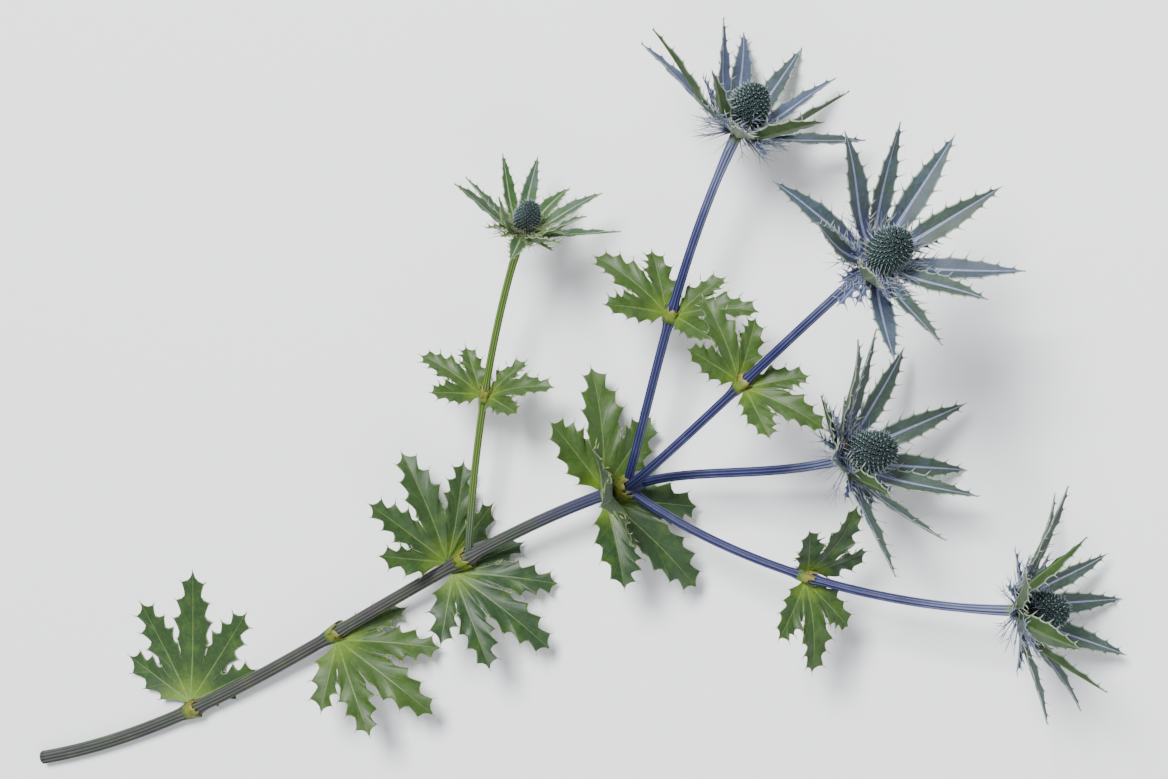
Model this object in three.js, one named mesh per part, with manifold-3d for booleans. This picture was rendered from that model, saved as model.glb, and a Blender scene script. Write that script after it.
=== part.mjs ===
// A cut stem of sea holly lying on a flat surface: one ribbed main stem, five flower stalks that
// each carry a ruff of spiny bracts round a cone of tiny florets, and lobed, spiny, clasping leaves.
// Millimetres, +Z up. The stem runs along X, from its cut end towards the heads, and rests on z = 0
// on its own cut end, on one leaf that is pressed flat, and on the lowest bracts of two heads.
import * as THREE from "three";
import { mergeVertices } from "three/addons/utils/BufferGeometryUtils.js";
import Module from "manifold-3d";

const wasm = await Module();
wasm.setup();

const DEGREE = Math.PI / 180;
const SKY = new THREE.Vector3(0, 0, 1);

// ---------------------------------------------------------------- driving dimensions

const GAP = 0.3; // clear distance between neighbouring pieces
const BLADE = 0.8; // thickness of bracts and leaves
const TOUCH = 0.15; // how far a resting piece dips before its underside is trimmed flat
const CENTRE = new THREE.Vector3(5.3, -2.7, 0); // middle of the whole stem, brought to the origin

const STEM = {
  cut: [-285, 14, 3.3],
  bends: [
    [-170, -18, 3.2],
    [-30, 20, 15],
  ],
  top: [78, 0, 26],
  radiusAtCut: 3.4,
  radiusAtTop: 2.8,
  ribs: 6,
  steps: 36,
};

// The thicker joints where leaves and stalks leave the main stem, at fractions of its length.
const JOINTS = [
  { at: 0.25, swell: 1, halfLength: 8 },
  { at: 0.5, swell: 1, halfLength: 8 },
  { at: 0.722, swell: 1.6, halfLength: 10 },
  { at: 0.972, swell: 2.2, halfLength: 12 },
];

const STALK = {
  radius: 2.1,
  radiusAtTop: 2.7,
  ribs: 6,
  stepLength: 10,
  leaving: 50, // degrees between the main stem and a side stalk where they part
  joint: { swell: 1, halfLength: 7 },
};

// Each stalk leaves the main stem at a fraction of its length, on the side given by an angle round
// the stem (0 is up, 90 is towards +Y, null is straight on), and ends at a head that faces along it.
const STALKS = [
  { from: 1, side: null, end: [172, -30, 46], facing: [0.95, -0.16, 0.26], size: 1.04, seed: 3 },
  { from: 0.975, side: 76, end: [196, 116, 41], facing: [0.82, 0.56, 0.08], size: 1, seed: 7 },
  { from: 0.975, side: -76, end: [206, -122, 40], facing: [0.9, -0.42, 0.08], size: 0.96, seed: 12 },
  { from: 0.975, side: 10, end: [238, 40, 100], facing: [0.76, 0.14, 0.62], size: 1, seed: 21 },
  { from: 0.73, side: 70, end: [88, 124, 42], facing: [0.76, 0.56, 0.3], size: 0.7, seed: 33 },
];

const RUFF = {
  coreRadius: 6.4,
  coreHeight: 4.8,
  bracts: 11,
  root: [4.2, 2.6], // distance from the head's axis and height above the stalk
  length: 56,
  halfWidth: 3.1,
  rootHalfWidth: 1.15,
  tooth: 3,
  teeth: 3,
  openings: [37, 66, 51], // degrees between a bract and the head's axis, taken in turn
  tiers: [0.7, -0.7, 0], // and how much higher such a bract is rooted
  tightest: 14, // the smallest such angle that the surface may press a bract to
  needles: 15,
  needleLength: 22,
  needleRadius: 0.8,
};

const CONE = { radius: 7.4, height: 19, around: 11, rings: 9, spike: 2.6 };

const LOBES = {
  3: { angles: [-38, 0, 38], lengths: [0.7, 1, 0.7], widths: [0.1, 0.13, 0.1], notch: [0.34] },
  5: {
    angles: [-60, -31, 0, 31, 60],
    lengths: [0.6, 0.84, 1, 0.84, 0.6],
    widths: [0.07, 0.09, 0.11, 0.09, 0.07],
    notch: [0.24, 0.34],
  },
};
const LEAF = { base: 0.045, tooth: 0.055, teeth: 2, fold: 0.28, pressedFold: 0.04, sunk: 0.6 };
const BESIDE_A_LOBE = { width: 0.5, firstTooth: 0.6 }; // shares, on a side that faces another lobe

// A leaf grows on the main stem (0) or on a stalk (1 to 5), at a fraction of its length, on a side
// given as above. "spread" is its angle to the stem, "facing" the share by which its upper face
// turns to the sky, "rise" and "droop" the slope of its midrib at the root and its loss to the tip.
const LEAVES = [
  ["lower_leaf_1", { on: 0, at: 0.25, side: 96, spread: 62, size: 66, lobes: 5, facing: 1, flat: true }],
  ["lower_leaf_2", { on: 0, at: 0.5, side: -80, spread: 60, size: 62, lobes: 5, facing: 0.6 }],
  ["axil_leaf_1", { on: 0, at: 0.7, side: 82, spread: 76, size: 58, lobes: 5, facing: 0.55 }],
  ["axil_leaf_2", { on: 0, at: 0.7, side: -90, spread: 64, size: 60, lobes: 5, facing: 0.6 }],
  ["whorl_leaf_1", { on: 0, at: 0.944, side: 100, spread: 74, size: 58, lobes: 3, facing: 0.5 }],
  ["whorl_leaf_2", { on: 0, at: 0.944, side: -100, spread: 66, size: 60, lobes: 3, facing: 0.55 }],
  ["whorl_leaf_3", { on: 0, at: 0.944, side: 0, spread: 60, size: 54, lobes: 3, facing: 0.1 }],
  ["stalk_leaf_1", { on: 2, at: 0.5, side: 82, spread: 64, size: 42, lobes: 3, facing: 0.5 }],
  ["stalk_leaf_2", { on: 2, at: 0.5, side: -82, spread: 62, size: 40, lobes: 3, facing: 0.5 }],
  ["stalk_leaf_3", { on: 3, at: 0.5, side: 82, spread: 62, size: 40, lobes: 3, facing: 0.5 }],
  ["stalk_leaf_4", { on: 3, at: 0.5, side: -82, spread: 66, size: 42, lobes: 3, facing: 0.5 }],
  ["stalk_leaf_5", { on: 4, at: 0.5, side: 88, spread: 64, size: 40, lobes: 3, facing: 0.5 }],
  ["stalk_leaf_6", { on: 4, at: 0.5, side: -88, spread: 62, size: 40, lobes: 3, facing: 0.5 }],
  ["stalk_leaf_7", { on: 5, at: 0.5, side: 82, spread: 64, size: 34, lobes: 3, facing: 0.5 }],
  ["stalk_leaf_8", { on: 5, at: 0.5, side: -82, spread: 62, size: 34, lobes: 3, facing: 0.5 }],
];
const LEAF_SLOPE = { rise: 0.3, droop: 0.85 }; // radians

const COLOURS = {
  stem: { color: 0x5d6b5c, roughness: 0.6, metalness: 0 },
  stalk: { color: 0x565cae, roughness: 0.55, metalness: 0 },
  youngStalk: { color: 0x8fb24a, roughness: 0.55, metalness: 0 },
  bract: { color: 0x6484a0, roughness: 0.6, metalness: 0 },
  cone: { color: 0x2f5450, roughness: 0.75, metalness: 0 },
  leaf: { color: 0x5f9040, roughness: 0.5, metalness: 0 },
};

// ---------------------------------------------------------------- small helpers

const vector = (xyz) => new THREE.Vector3(...xyz);

// A fixed number between low and high for each seed and index.
function draw(seed, index, low, high) {
  const wave = Math.sin(seed * 12.9898 + index * 78.233) * 43758.5453;
  return low + (high - low) * (wave - Math.floor(wave));
}

// A closed mesh as a solid that can be joined and cut.
function solidOf(geometry) {
  const bare = geometry.clone();
  bare.deleteAttribute("normal");
  bare.deleteAttribute("uv");
  const merged = mergeVertices(bare, 1e-4);
  return new wasm.Manifold(
    new wasm.Mesh({
      numProp: 3,
      vertProperties: merged.getAttribute("position").array,
      triVerts: new Uint32Array(merged.index.array),
    }),
  );
}

function geometryOf(solid) {
  const { vertProperties, triVerts } = solid.getMesh();
  const geometry = new THREE.BufferGeometry();
  geometry.setAttribute("position", new THREE.BufferAttribute(vertProperties, 3));
  geometry.setIndex(new THREE.BufferAttribute(triVerts, 1));
  geometry.computeVertexNormals();
  return geometry;
}

const joined = (solids) => solids.reduce((whole, solid) => whole.add(solid));

// What is left of a solid once the small scraps that a cut leaves are dropped.
function mainBody(solid) {
  const bodies = solid.decompose();
  return bodies.reduce((best, body) => (body.volume() > best.volume() ? body : best));
}

function namedMesh(name, solid, finish) {
  const mesh = new THREE.Mesh(geometryOf(solid), new THREE.MeshStandardMaterial(finish));
  mesh.name = name;
  return mesh;
}

// Turns a solid's +Z towards a direction and moves its origin to a point.
function placement(origin, direction) {
  const turn = new THREE.Quaternion().setFromUnitVectors(SKY, direction.clone().normalize());
  return new THREE.Matrix4().compose(origin, turn, new THREE.Vector3(1, 1, 1));
}

// A body of revolution about +Z from [radius, height] pairs that start and end on the axis.
function turned(profile, segments) {
  const points = profile.map(([radius, height]) => new THREE.Vector2(radius, height));
  return new THREE.LatheGeometry(points, segments).rotateX(Math.PI / 2);
}

// ---------------------------------------------------------------- stems

// The directions at a fraction of a curve's length: along it, up from it and to its side.
function frameAt(curve, fraction) {
  const tangent = curve.getTangentAt(fraction);
  const up = SKY.clone().addScaledVector(tangent, -tangent.z).normalize();
  return { origin: curve.getPointAt(fraction), tangent, up, side: up.clone().cross(tangent) };
}

// The direction out of a stem on the side given by an angle round it.
function outward(frame, degrees) {
  const angle = degrees * DEGREE;
  return frame.up.clone().multiplyScalar(Math.cos(angle)).addScaledVector(frame.side, Math.sin(angle));
}

function ribbedSection(ribs) {
  const valley = 0.84;
  const outline = [];
  for (let i = 0; i < 2 * ribs; i++) {
    const radius = i % 2 ? valley : 1;
    const angle = (Math.PI * i) / ribs;
    outline.push(new THREE.Vector2(radius * Math.cos(angle), radius * Math.sin(angle)));
  }
  return new THREE.Shape(outline);
}

// A ribbed tube of radius 1 along a curve, then widened at each step to radiusAt(fraction).
function ribbedTube(curve, steps, ribs, radiusAt) {
  const tube = new THREE.ExtrudeGeometry(ribbedSection(ribs), { steps, extrudePath: curve });
  const stations = curve.getSpacedPoints(steps);
  const position = tube.getAttribute("position");
  const point = new THREE.Vector3();
  for (let i = 0; i < position.count; i++) {
    point.fromBufferAttribute(position, i);
    const distances = stations.map((station) => station.distanceToSquared(point));
    const nearest = distances.indexOf(Math.min(...distances));
    const station = stations[nearest];
    point.sub(station).multiplyScalar(radiusAt(nearest / steps)).add(station);
    position.setXYZ(i, point.x, point.y, point.z);
  }
  return solidOf(tube);
}

// What the joints of a stem add to its radius at a fraction of its length.
function swelling(joints, length, fraction) {
  const parts = joints.map(({ at, swell, halfLength }) => {
    const share = (Math.abs(fraction - at) * length) / halfLength;
    return share < 1 ? swell * Math.cos((share * Math.PI) / 2) : 0;
  });
  return Math.max(0, ...parts);
}

const stemCurve = new THREE.CubicBezierCurve3(
  vector(STEM.cut),
  vector(STEM.bends[0]),
  vector(STEM.bends[1]),
  vector(STEM.top),
);

// The radius of the main stem at a fraction of its length.
function stemRadius(t) {
  const plain = THREE.MathUtils.lerp(STEM.radiusAtCut, STEM.radiusAtTop, t);
  return plain + swelling(JOINTS, stemCurve.getLength(), t);
}

// The main stem, made larger all round by "extra" when it serves as a cutter.
function mainStem(extra) {
  return ribbedTube(stemCurve, STEM.steps, STEM.ribs, (t) => stemRadius(t) + extra);
}

function stalkCurve({ from, side, end, facing }) {
  const frame = frameAt(stemCurve, from);
  const leave = frame.tangent.clone();
  if (side !== null) {
    leave.multiplyScalar(Math.cos(STALK.leaving * DEGREE));
    leave.addScaledVector(outward(frame, side), Math.sin(STALK.leaving * DEGREE));
  }
  const start = frame.origin;
  const finish = vector(end);
  const reach = start.distanceTo(finish);
  const first = start.clone().addScaledVector(leave, 0.28 * reach);
  const second = finish.clone().addScaledVector(vector(facing).normalize(), -0.38 * reach);
  return new THREE.CubicBezierCurve3(start, first, second, finish);
}

const stalkCurves = STALKS.map(stalkCurve);
const leavesOf = (stem) => LEAVES.filter(([, leaf]) => leaf.on === stem).map(([, leaf]) => leaf);

// The radius of a flower stalk, which widens under its head and at the joint of its own leaves.
function stalkRadius(index, t) {
  const joints = leavesOf(index + 1).map(({ at }) => ({ at, ...STALK.joint }));
  const flare = Math.max(0, 1 - (1 - t) / 0.12);
  const adult = THREE.MathUtils.lerp(STALK.radius, STALK.radiusAtTop, flare);
  return Math.sqrt(STALKS[index].size) * adult + swelling(joints, stalkCurves[index].getLength(), t);
}

function stalkSolid(index, extra) {
  const curve = stalkCurves[index];
  const steps = 2 * Math.round(curve.getLength() / STALK.stepLength / 2);
  return ribbedTube(curve, steps, STALK.ribs, (t) => stalkRadius(index, t) + extra);
}

// ---------------------------------------------------------------- blades

// A flat pattern of a toothed, lobed blade: points [x along the midrib, y across, height of the
// fold] and triangles. Each lobe has a rib from the root to its tip, and two sides with teeth.
class BladePattern {
  constructor() {
    this.points = [];
    this.triangles = [];
    this.index = new Map();
  }

  pointAt(x, y, height) {
    const key = `${x.toFixed(4)},${y.toFixed(4)}`;
    if (!this.index.has(key)) {
      this.index.set(key, this.points.length);
      this.points.push([x, y, height]);
    }
    return this.index.get(key);
  }

  // Fills one convex or notched cell, given as indices round it, with upward triangles.
  addCell(corners) {
    const flat = corners.map((i) => new THREE.Vector2(this.points[i][0], this.points[i][1]));
    const turnedLeft = THREE.ShapeUtils.area(flat) > 0;
    const ring = turnedLeft ? flat : flat.reverse();
    const indices = turnedLeft ? corners : corners.reverse();
    for (const [a, b, c] of THREE.ShapeUtils.triangulateShape(ring, [])) {
      this.triangles.push([indices[a], indices[b], indices[c]]);
    }
  }

  // One side of a lobe, from "start" on the blade's edge to the lobe's tip. "firstTooth" is the
  // size of its tooth nearest the start, as a share of the others.
  addSide({ start, tip, sign, width, teeth, tooth, firstTooth = 1, fold }) {
    const along = tip.clone().sub(start);
    const rib = tip.clone();
    const across = new THREE.Vector2(-tip.y, tip.x).normalize().multiplyScalar(sign);
    const share = (j) => j / (teeth + 0.75);
    const edge = (t, out) => {
      const bulge = width * Math.sin(Math.PI * Math.min(1, t ** 0.95)) + out;
      return start.clone().addScaledVector(along, t).addScaledVector(across, bulge);
    };
    const height = (point) => fold * Math.abs(point.dot(across));
    const add = (point) => this.pointAt(point.x, point.y, height(point));
    for (let j = 0; j <= teeth; j++) {
      const near = rib.clone().multiplyScalar(share(j));
      const cell = [this.pointAt(near.x, near.y, 0), add(edge(share(j), 0))];
      if (j < teeth) {
        const far = rib.clone().multiplyScalar(share(j + 1));
        const out = j === 0 ? tooth * firstTooth : tooth;
        const point = edge(share(j + 1), out).addScaledVector(rib, (0.35 * out) / rib.length());
        cell.push(add(point));
        cell.push(add(edge(share(j + 1), 0)));
        cell.push(this.pointAt(far.x, far.y, 0));
      } else {
        cell.push(this.pointAt(tip.x, tip.y, 0));
      }
      this.addCell(cell);
    }
  }

  // The closed solid of this pattern, with each point carried to its place by "carry".
  solid(carry, thickness) {
    const count = this.points.length;
    const vertices = [];
    for (const offset of [thickness / 2, -thickness / 2]) {
      for (const [x, y, height] of this.points) {
        vertices.push(...carry(x, y, height + offset).toArray());
      }
    }
    const faces = [];
    const edges = new Map();
    for (const [a, b, c] of this.triangles) {
      faces.push(a, b, c, a + count, c + count, b + count);
      for (const [from, to] of [[a, b], [b, c], [c, a]]) {
        if (!edges.delete(`${to},${from}`)) {
          edges.set(`${from},${to}`, [from, to]);
        }
      }
    }
    for (const [from, to] of edges.values()) {
      faces.push(to, from, from + count, to, from + count, to + count);
    }
    const geometry = new THREE.BufferGeometry();
    geometry.setAttribute("position", new THREE.Float32BufferAttribute(vertices, 3));
    geometry.setIndex(faces);
    return solidOf(geometry);
  }
}

// The curve that a blade's midrib follows in its own upright plane: slope(t) in radians along its
// length. Returns the point and slope at a distance from the root.
function midrib(length, slope) {
  const steps = 40;
  const step = length / steps;
  const points = [[0, 0]];
  for (let i = 0; i < steps; i++) {
    const angle = slope((i + 0.5) / steps);
    const [x, z] = points[i];
    points.push([x + step * Math.cos(angle), z + step * Math.sin(angle)]);
  }
  return (distance) => {
    const along = THREE.MathUtils.clamp(distance / step, 0, steps - 1e-6);
    const i = Math.floor(along);
    const rest = along - i;
    const x = THREE.MathUtils.lerp(points[i][0], points[i + 1][0], rest);
    const z = THREE.MathUtils.lerp(points[i][1], points[i + 1][1], rest);
    return { x: x + Math.min(0, distance), z, angle: slope(Math.min(1, Math.max(0, distance / length))) };
  };
}

// Carries a pattern point along the midrib, with "forward", "across" and "over" as its own axes.
function carrier(root, forward, over, rib) {
  const across = over.clone().cross(forward);
  return (x, y, height) => {
    const at = rib(x);
    return root
      .clone()
      .addScaledVector(forward, at.x - height * Math.sin(at.angle))
      .addScaledVector(over, at.z + height * Math.cos(at.angle))
      .addScaledVector(across, y);
  };
}

const lowest = (pattern, carry) =>
  Math.min(...pattern.points.map(([x, y, height]) => carry(x, y, height - BLADE / 2).z));

// ---------------------------------------------------------------- heads

function bractPattern(length, seed) {
  const pattern = new BladePattern();
  const scale = length / RUFF.length;
  for (const sign of [1, -1]) {
    pattern.addSide({
      start: new THREE.Vector2(0, sign * RUFF.rootHalfWidth),
      tip: new THREE.Vector2(length, 0),
      sign,
      width: RUFF.halfWidth * scale,
      teeth: RUFF.teeth,
      tooth: RUFF.tooth * draw(seed, 60 + sign, 0.8, 1.2),
      fold: 0.3,
    });
  }
  return pattern;
}

// The head's own place: its origin at the top of the stalk and its axis along "facing".
function headPlace({ end, facing }) {
  return placement(vector(end), vector(facing));
}

// One bract, opened as far as it grows or, on the underside, as far as the surface lets it.
function bractSolid(stalk, place, index) {
  const { seed, size } = stalk;
  const length = size * RUFF.length * draw(seed, index, 0.84, 1.1);
  const pattern = bractPattern(length, seed + index);
  const azimuth = ((index + draw(seed, index + 20, -0.16, 0.16)) * 360 * DEGREE) / RUFF.bracts;
  const forward = new THREE.Vector3(Math.cos(azimuth), Math.sin(azimuth), 0);
  const arch = draw(seed, index + 40, -0.15, 0.35);
  const [radius, height] = RUFF.root;
  const root = forward.clone().multiplyScalar(size * radius);
  const turn = index % RUFF.openings.length;
  root.z = size * (height + RUFF.tiers[turn]);
  let opening = RUFF.openings[turn] + draw(seed, index + 80, -6, 6);
  let carry;
  let sinks;
  do {
    const raised = (90 - opening) * DEGREE;
    const slope = (t) => raised - (raised - 0.12) * (1 - t) ** 5 - arch * t * t;
    carry = carrier(root, forward, SKY, midrib(length, slope));
    sinks = lowest(pattern, (x, y, h) => carry(x, y, h).applyMatrix4(place)) < -TOUCH;
    opening -= 0.1;
  } while (sinks && opening > RUFF.tightest);
  return pattern.solid(carry, BLADE);
}

// One of the thin spines that ring the underside of the ruff.
function needleSolid({ seed, size }, place, index) {
  const length = size * RUFF.needleLength * draw(seed, index + 100, 0.6, 1.15);
  const azimuth = ((index + draw(seed, index + 120, 0.1, 0.7)) * 360 * DEGREE) / RUFF.needles;
  const lean = draw(seed, index + 140, -22, 14) * DEGREE;
  const direction = new THREE.Vector3(Math.cos(azimuth), Math.sin(azimuth), Math.tan(lean)).normalize();
  const root = direction.clone().multiplyScalar(size * 2.5);
  root.z += size * 2.6;
  const needle = new THREE.ConeGeometry(RUFF.needleRadius, length, 3);
  needle.translate(0, length / 2, 0).rotateX(Math.PI / 2);
  return solidOf(needle.applyMatrix4(placement(root, direction)));
}

function ruffSolid(stalk) {
  const place = headPlace(stalk);
  const { size } = stalk;
  const r = size * RUFF.coreRadius;
  const h = size * RUFF.coreHeight;
  const profile = [
    [0, GAP],
    [0.44 * r, GAP],
    [0.8 * r, 0.34 * h],
    [r, 0.66 * h],
    [0.78 * r, h],
    [0, h],
  ];
  const parts = [solidOf(turned(profile, 14))];
  for (let i = 0; i < RUFF.bracts; i++) {
    parts.push(bractSolid(stalk, place, i));
  }
  for (let i = 0; i < RUFF.needles; i++) {
    parts.push(needleSolid(stalk, place, i));
  }
  return joined(parts);
}

// The egg shape of the cone: its radius at a share of its height.
const coneRadius = (share) => CONE.radius * Math.sqrt(Math.max(0, 1 - ((share - 0.4) / 0.62) ** 2));

// The cone of florets: rings of points, each ring turned by half a step, with a spike raised over
// every diamond between them, closed by a flat foot and a pointed crown.
function coneSolid({ size, seed }) {
  const { around, rings, height, spike } = CONE;
  const base = size * RUFF.coreHeight + GAP;
  const vertices = [];
  const surfacePoint = (ring, step, out) => {
    const share = ring / rings;
    const angle = ((step + Math.floor(ring) / 2) * 2 * Math.PI) / around;
    const tilt = share ** 1.4 * 80 * DEGREE;
    const radius = size * (coneRadius(share) + out * Math.cos(tilt));
    const z = base + size * (height * share + out * Math.sin(tilt));
    return vertices.push([radius * Math.cos(angle), radius * Math.sin(angle), z]) - 1;
  };
  const steps = [...Array(around).keys()];
  const grid = [...Array(rings).keys()].map((ring) => steps.map((step) => surfacePoint(ring, step, 0)));
  const at = (ring, step) => grid[ring][(step + around) % around];
  const foot = vertices.push([0, 0, base]) - 1;
  const crown = vertices.push([0, 0, base + size * (height + 0.6 * spike)]) - 1;
  const faces = [];
  for (const step of steps) {
    faces.push(foot, at(0, step + 1), at(0, step));
    faces.push(at(0, step), at(0, step + 1), at(1, step));
    faces.push(at(rings - 2, step), at(rings - 1, step), at(rings - 1, step - 1));
    faces.push(at(rings - 1, step), at(rings - 1, step + 1), crown);
    for (let ring = 1; ring < rings - 1; ring++) {
      const out = spike * draw(seed, ring * around + step, 0.8, 1.2);
      const tip = surfacePoint(ring + 0.3, step - 0.5, out);
      const diamond = [at(ring - 1, step), at(ring, step), at(ring + 1, step - 1), at(ring, step - 1)];
      diamond.forEach((corner, i) => faces.push(corner, diamond[(i + 1) % 4], tip));
    }
  }
  const geometry = new THREE.BufferGeometry();
  geometry.setAttribute("position", new THREE.Float32BufferAttribute(vertices.flat(), 3));
  geometry.setIndex(faces);
  return solidOf(geometry);
}

// ---------------------------------------------------------------- leaves

function leafPattern({ size, lobes, flat }) {
  const { angles, lengths, widths, notch } = LOBES[lobes];
  const polar = (degrees, radius) =>
    new THREE.Vector2(radius * Math.cos(degrees * DEGREE), radius * Math.sin(degrees * DEGREE));
  const pattern = new BladePattern();
  const last = angles.length - 1;
  for (let k = 0; k <= last; k++) {
    for (const sign of [1, -1]) {
      const neighbour = k + sign;
      const outermost = neighbour < 0 || neighbour > last;
      const between = outermost ? 0 : (angles[k] + angles[neighbour]) / 2;
      const inner = Math.min(k, neighbour);
      const depth = notch[Math.min(inner, last - 1 - inner)] * size;
      pattern.addSide({
        start: outermost ? new THREE.Vector2(0, sign * LEAF.base * size) : polar(between, depth),
        tip: polar(angles[k], lengths[k] * size),
        sign,
        width: widths[k] * size * (outermost ? 1 : BESIDE_A_LOBE.width),
        teeth: lengths[k] > 0.6 ? LEAF.teeth : 1,
        tooth: LEAF.tooth * size,
        firstTooth: outermost ? 1 : BESIDE_A_LOBE.firstTooth,
        fold: flat ? LEAF.pressedFold : LEAF.fold,
      });
    }
  }
  return pattern;
}

// A leaf in its place. It is lifted and turned to the sky until nothing lies below the surface; a
// leaf that lies flat runs down from the stem and then along the surface.
function leafSolid(spec) {
  const onStem = spec.on === 0;
  const frame = frameAt(onStem ? stemCurve : stalkCurves[spec.on - 1], spec.at);
  const stemHalf = onStem ? stemRadius(spec.at) : stalkRadius(spec.on - 1, spec.at);
  const radial = outward(frame, spec.side);
  const spread = spec.spread * DEGREE;
  const grown = frame.tangent.clone().multiplyScalar(Math.cos(spread));
  grown.addScaledVector(radial, Math.sin(spread));
  const inner = frame.tangent.clone().multiplyScalar(Math.sin(spread));
  inner.addScaledVector(radial, -Math.cos(spread));
  const root = frame.origin.clone().addScaledVector(radial, stemHalf - LEAF.sunk);
  const pattern = leafPattern(spec);
  const { rise, droop } = LEAF_SLOPE;
  let carry;
  for (let settle = 0; settle <= 1; settle += 0.05) {
    const forward = grown.clone();
    forward.z = THREE.MathUtils.lerp(forward.z, Math.max(forward.z, 0.3), settle);
    const over = inner.clone().lerp(SKY, THREE.MathUtils.lerp(spec.facing, 1, settle));
    let slope = (t) => rise - droop * (1 - 0.5 * settle) * t;
    if (spec.flat) {
      forward.z = 0;
      over.copy(SKY);
      const drop = root.z - BLADE / 2 + TOUCH;
      slope = (t) => ((-4 * drop) / spec.size) * (1 - t) ** 3;
    }
    forward.normalize();
    over.addScaledVector(forward, -over.dot(forward)).normalize();
    carry = carrier(root, forward, over, midrib(spec.size, slope));
    if (spec.flat || lowest(pattern, carry) > GAP) {
      break;
    }
  }
  return pattern.solid(carry, BLADE);
}

// ---------------------------------------------------------------- the whole stem

const part = new THREE.Group();
part.position.copy(CENTRE).negate();

const aboveSurface = (solid) => solid.trimByPlane([0, 0, 1], 0);
const stemCutter = mainStem(GAP);
const stalkCutters = STALKS.map((_, index) => stalkSolid(index, GAP));

part.add(namedMesh("main_stem", aboveSurface(mainStem(0)), COLOURS.stem));

STALKS.forEach((stalk, index) => {
  const number = index + 1;
  const finish = stalk.size < 0.8 ? COLOURS.youngStalk : COLOURS.stalk;
  const cutStalk = mainBody(stalkSolid(index, 0).subtract(stemCutter));
  part.add(namedMesh(`flower_stalk_${number}`, cutStalk, finish));

  const head = new THREE.Group();
  const place = headPlace(stalk);
  place.decompose(head.position, head.quaternion, head.scale);
  const down = SKY.clone().applyQuaternion(head.quaternion.clone().invert());
  const ruff = ruffSolid(stalk).trimByPlane(down.toArray(), -head.position.z);
  head.add(namedMesh(`involucre_${number}`, mainBody(ruff), COLOURS.bract));
  head.add(namedMesh(`flower_cone_${number}`, coneSolid(stalk), COLOURS.cone));
  part.add(head);
});

for (const [name, spec] of LEAVES) {
  const cutters = spec.on === 0 ? [stemCutter, ...stalkCutters] : [stalkCutters[spec.on - 1]];
  const cut = cutters.reduce((leaf, cutter) => leaf.subtract(cutter), leafSolid(spec));
  part.add(namedMesh(name, mainBody(aboveSurface(cut)), COLOURS.leaf));
}

export default part;
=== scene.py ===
"""The looks of a cut sea holly stem that lies on a pale surface.

A ribbed main stem carries five flower stalks. Each ends in a head: a ruff of spiny bracts, comb-like
small bracts and fine forked needles round a cone of tiny florets. Lobed, spiny leaves clasp the
joints. Lengths are millimetres in the stem's own frame until a piece is finished: then its mesh is
turned to metres, with the middle of the whole stem over the origin.
"""

import logging
from collections.abc import Callable, Iterator, Sequence
from dataclasses import dataclass, field, replace
from enum import Enum
from itertools import product
from math import atan2, cos, floor, pi, radians, sin, sqrt, tan, tau
from typing import Any

import bmesh
import bpy
import numpy as np
from bmesh.types import BMEdge, BMesh, BMFace, BMLayerItem, BMVert
from bpy.types import ID, Material, Mesh, NodeSocket, NodeTree, Object
from mathutils import Matrix, Quaternion, Vector


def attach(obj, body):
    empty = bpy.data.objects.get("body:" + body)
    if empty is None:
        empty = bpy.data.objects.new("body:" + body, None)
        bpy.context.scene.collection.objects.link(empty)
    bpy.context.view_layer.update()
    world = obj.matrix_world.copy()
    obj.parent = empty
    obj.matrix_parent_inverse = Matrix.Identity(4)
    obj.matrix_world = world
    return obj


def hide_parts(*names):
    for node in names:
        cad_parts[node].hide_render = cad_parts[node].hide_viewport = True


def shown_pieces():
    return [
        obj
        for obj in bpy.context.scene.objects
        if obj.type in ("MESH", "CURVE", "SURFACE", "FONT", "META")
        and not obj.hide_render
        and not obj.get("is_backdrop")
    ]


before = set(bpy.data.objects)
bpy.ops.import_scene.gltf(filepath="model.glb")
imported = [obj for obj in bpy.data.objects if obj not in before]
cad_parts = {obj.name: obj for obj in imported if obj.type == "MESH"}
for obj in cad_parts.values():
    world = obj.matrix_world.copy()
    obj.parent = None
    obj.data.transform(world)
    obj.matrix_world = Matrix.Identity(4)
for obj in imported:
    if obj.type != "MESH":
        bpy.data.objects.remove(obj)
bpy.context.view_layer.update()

LOG = logging.getLogger("sea_holly")

Pair = tuple[float, float]
Row = tuple[float, ...]

METRES = 0.001  # in a millimetre
CENTRE = Vector((5.3, -2.7, 0.0))  # the middle of the whole stem
SKY = Vector((0.0, 0.0, 1.0))
BODY = "root"
WELD = 0.004  # points closer than this become one
TOUCH = 0.15  # how far a resting blade dips before it is pressed flat
CLEAR = 0.3  # how far above the surface a leaf that doesn't rest on it stays
PRESSED = 0.02  # the height of what is pressed flat on the surface
FLAT_WALL = 0.3  # the thickness that a blade keeps where it is pressed flat
HALF_WALL = 0.4  # how far below its upper skin a blade is taken to reach
STEPS = 200  # in how many steps a curve is measured
OFF_RIB = 9.0  # a rib mark that is beyond every midrib
SCATTER = (12.9898, 78.233, 43758.5453)  # factors after which a sine's last digits seem random
KEPT = "kept"  # the name of a mesh that is there to be planted
COLOUR_A, COLOUR_B, COLOUR_OUT = 6, 7, 2  # the numbers of a Mix node's colour sockets


# ---- marks and slots


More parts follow.
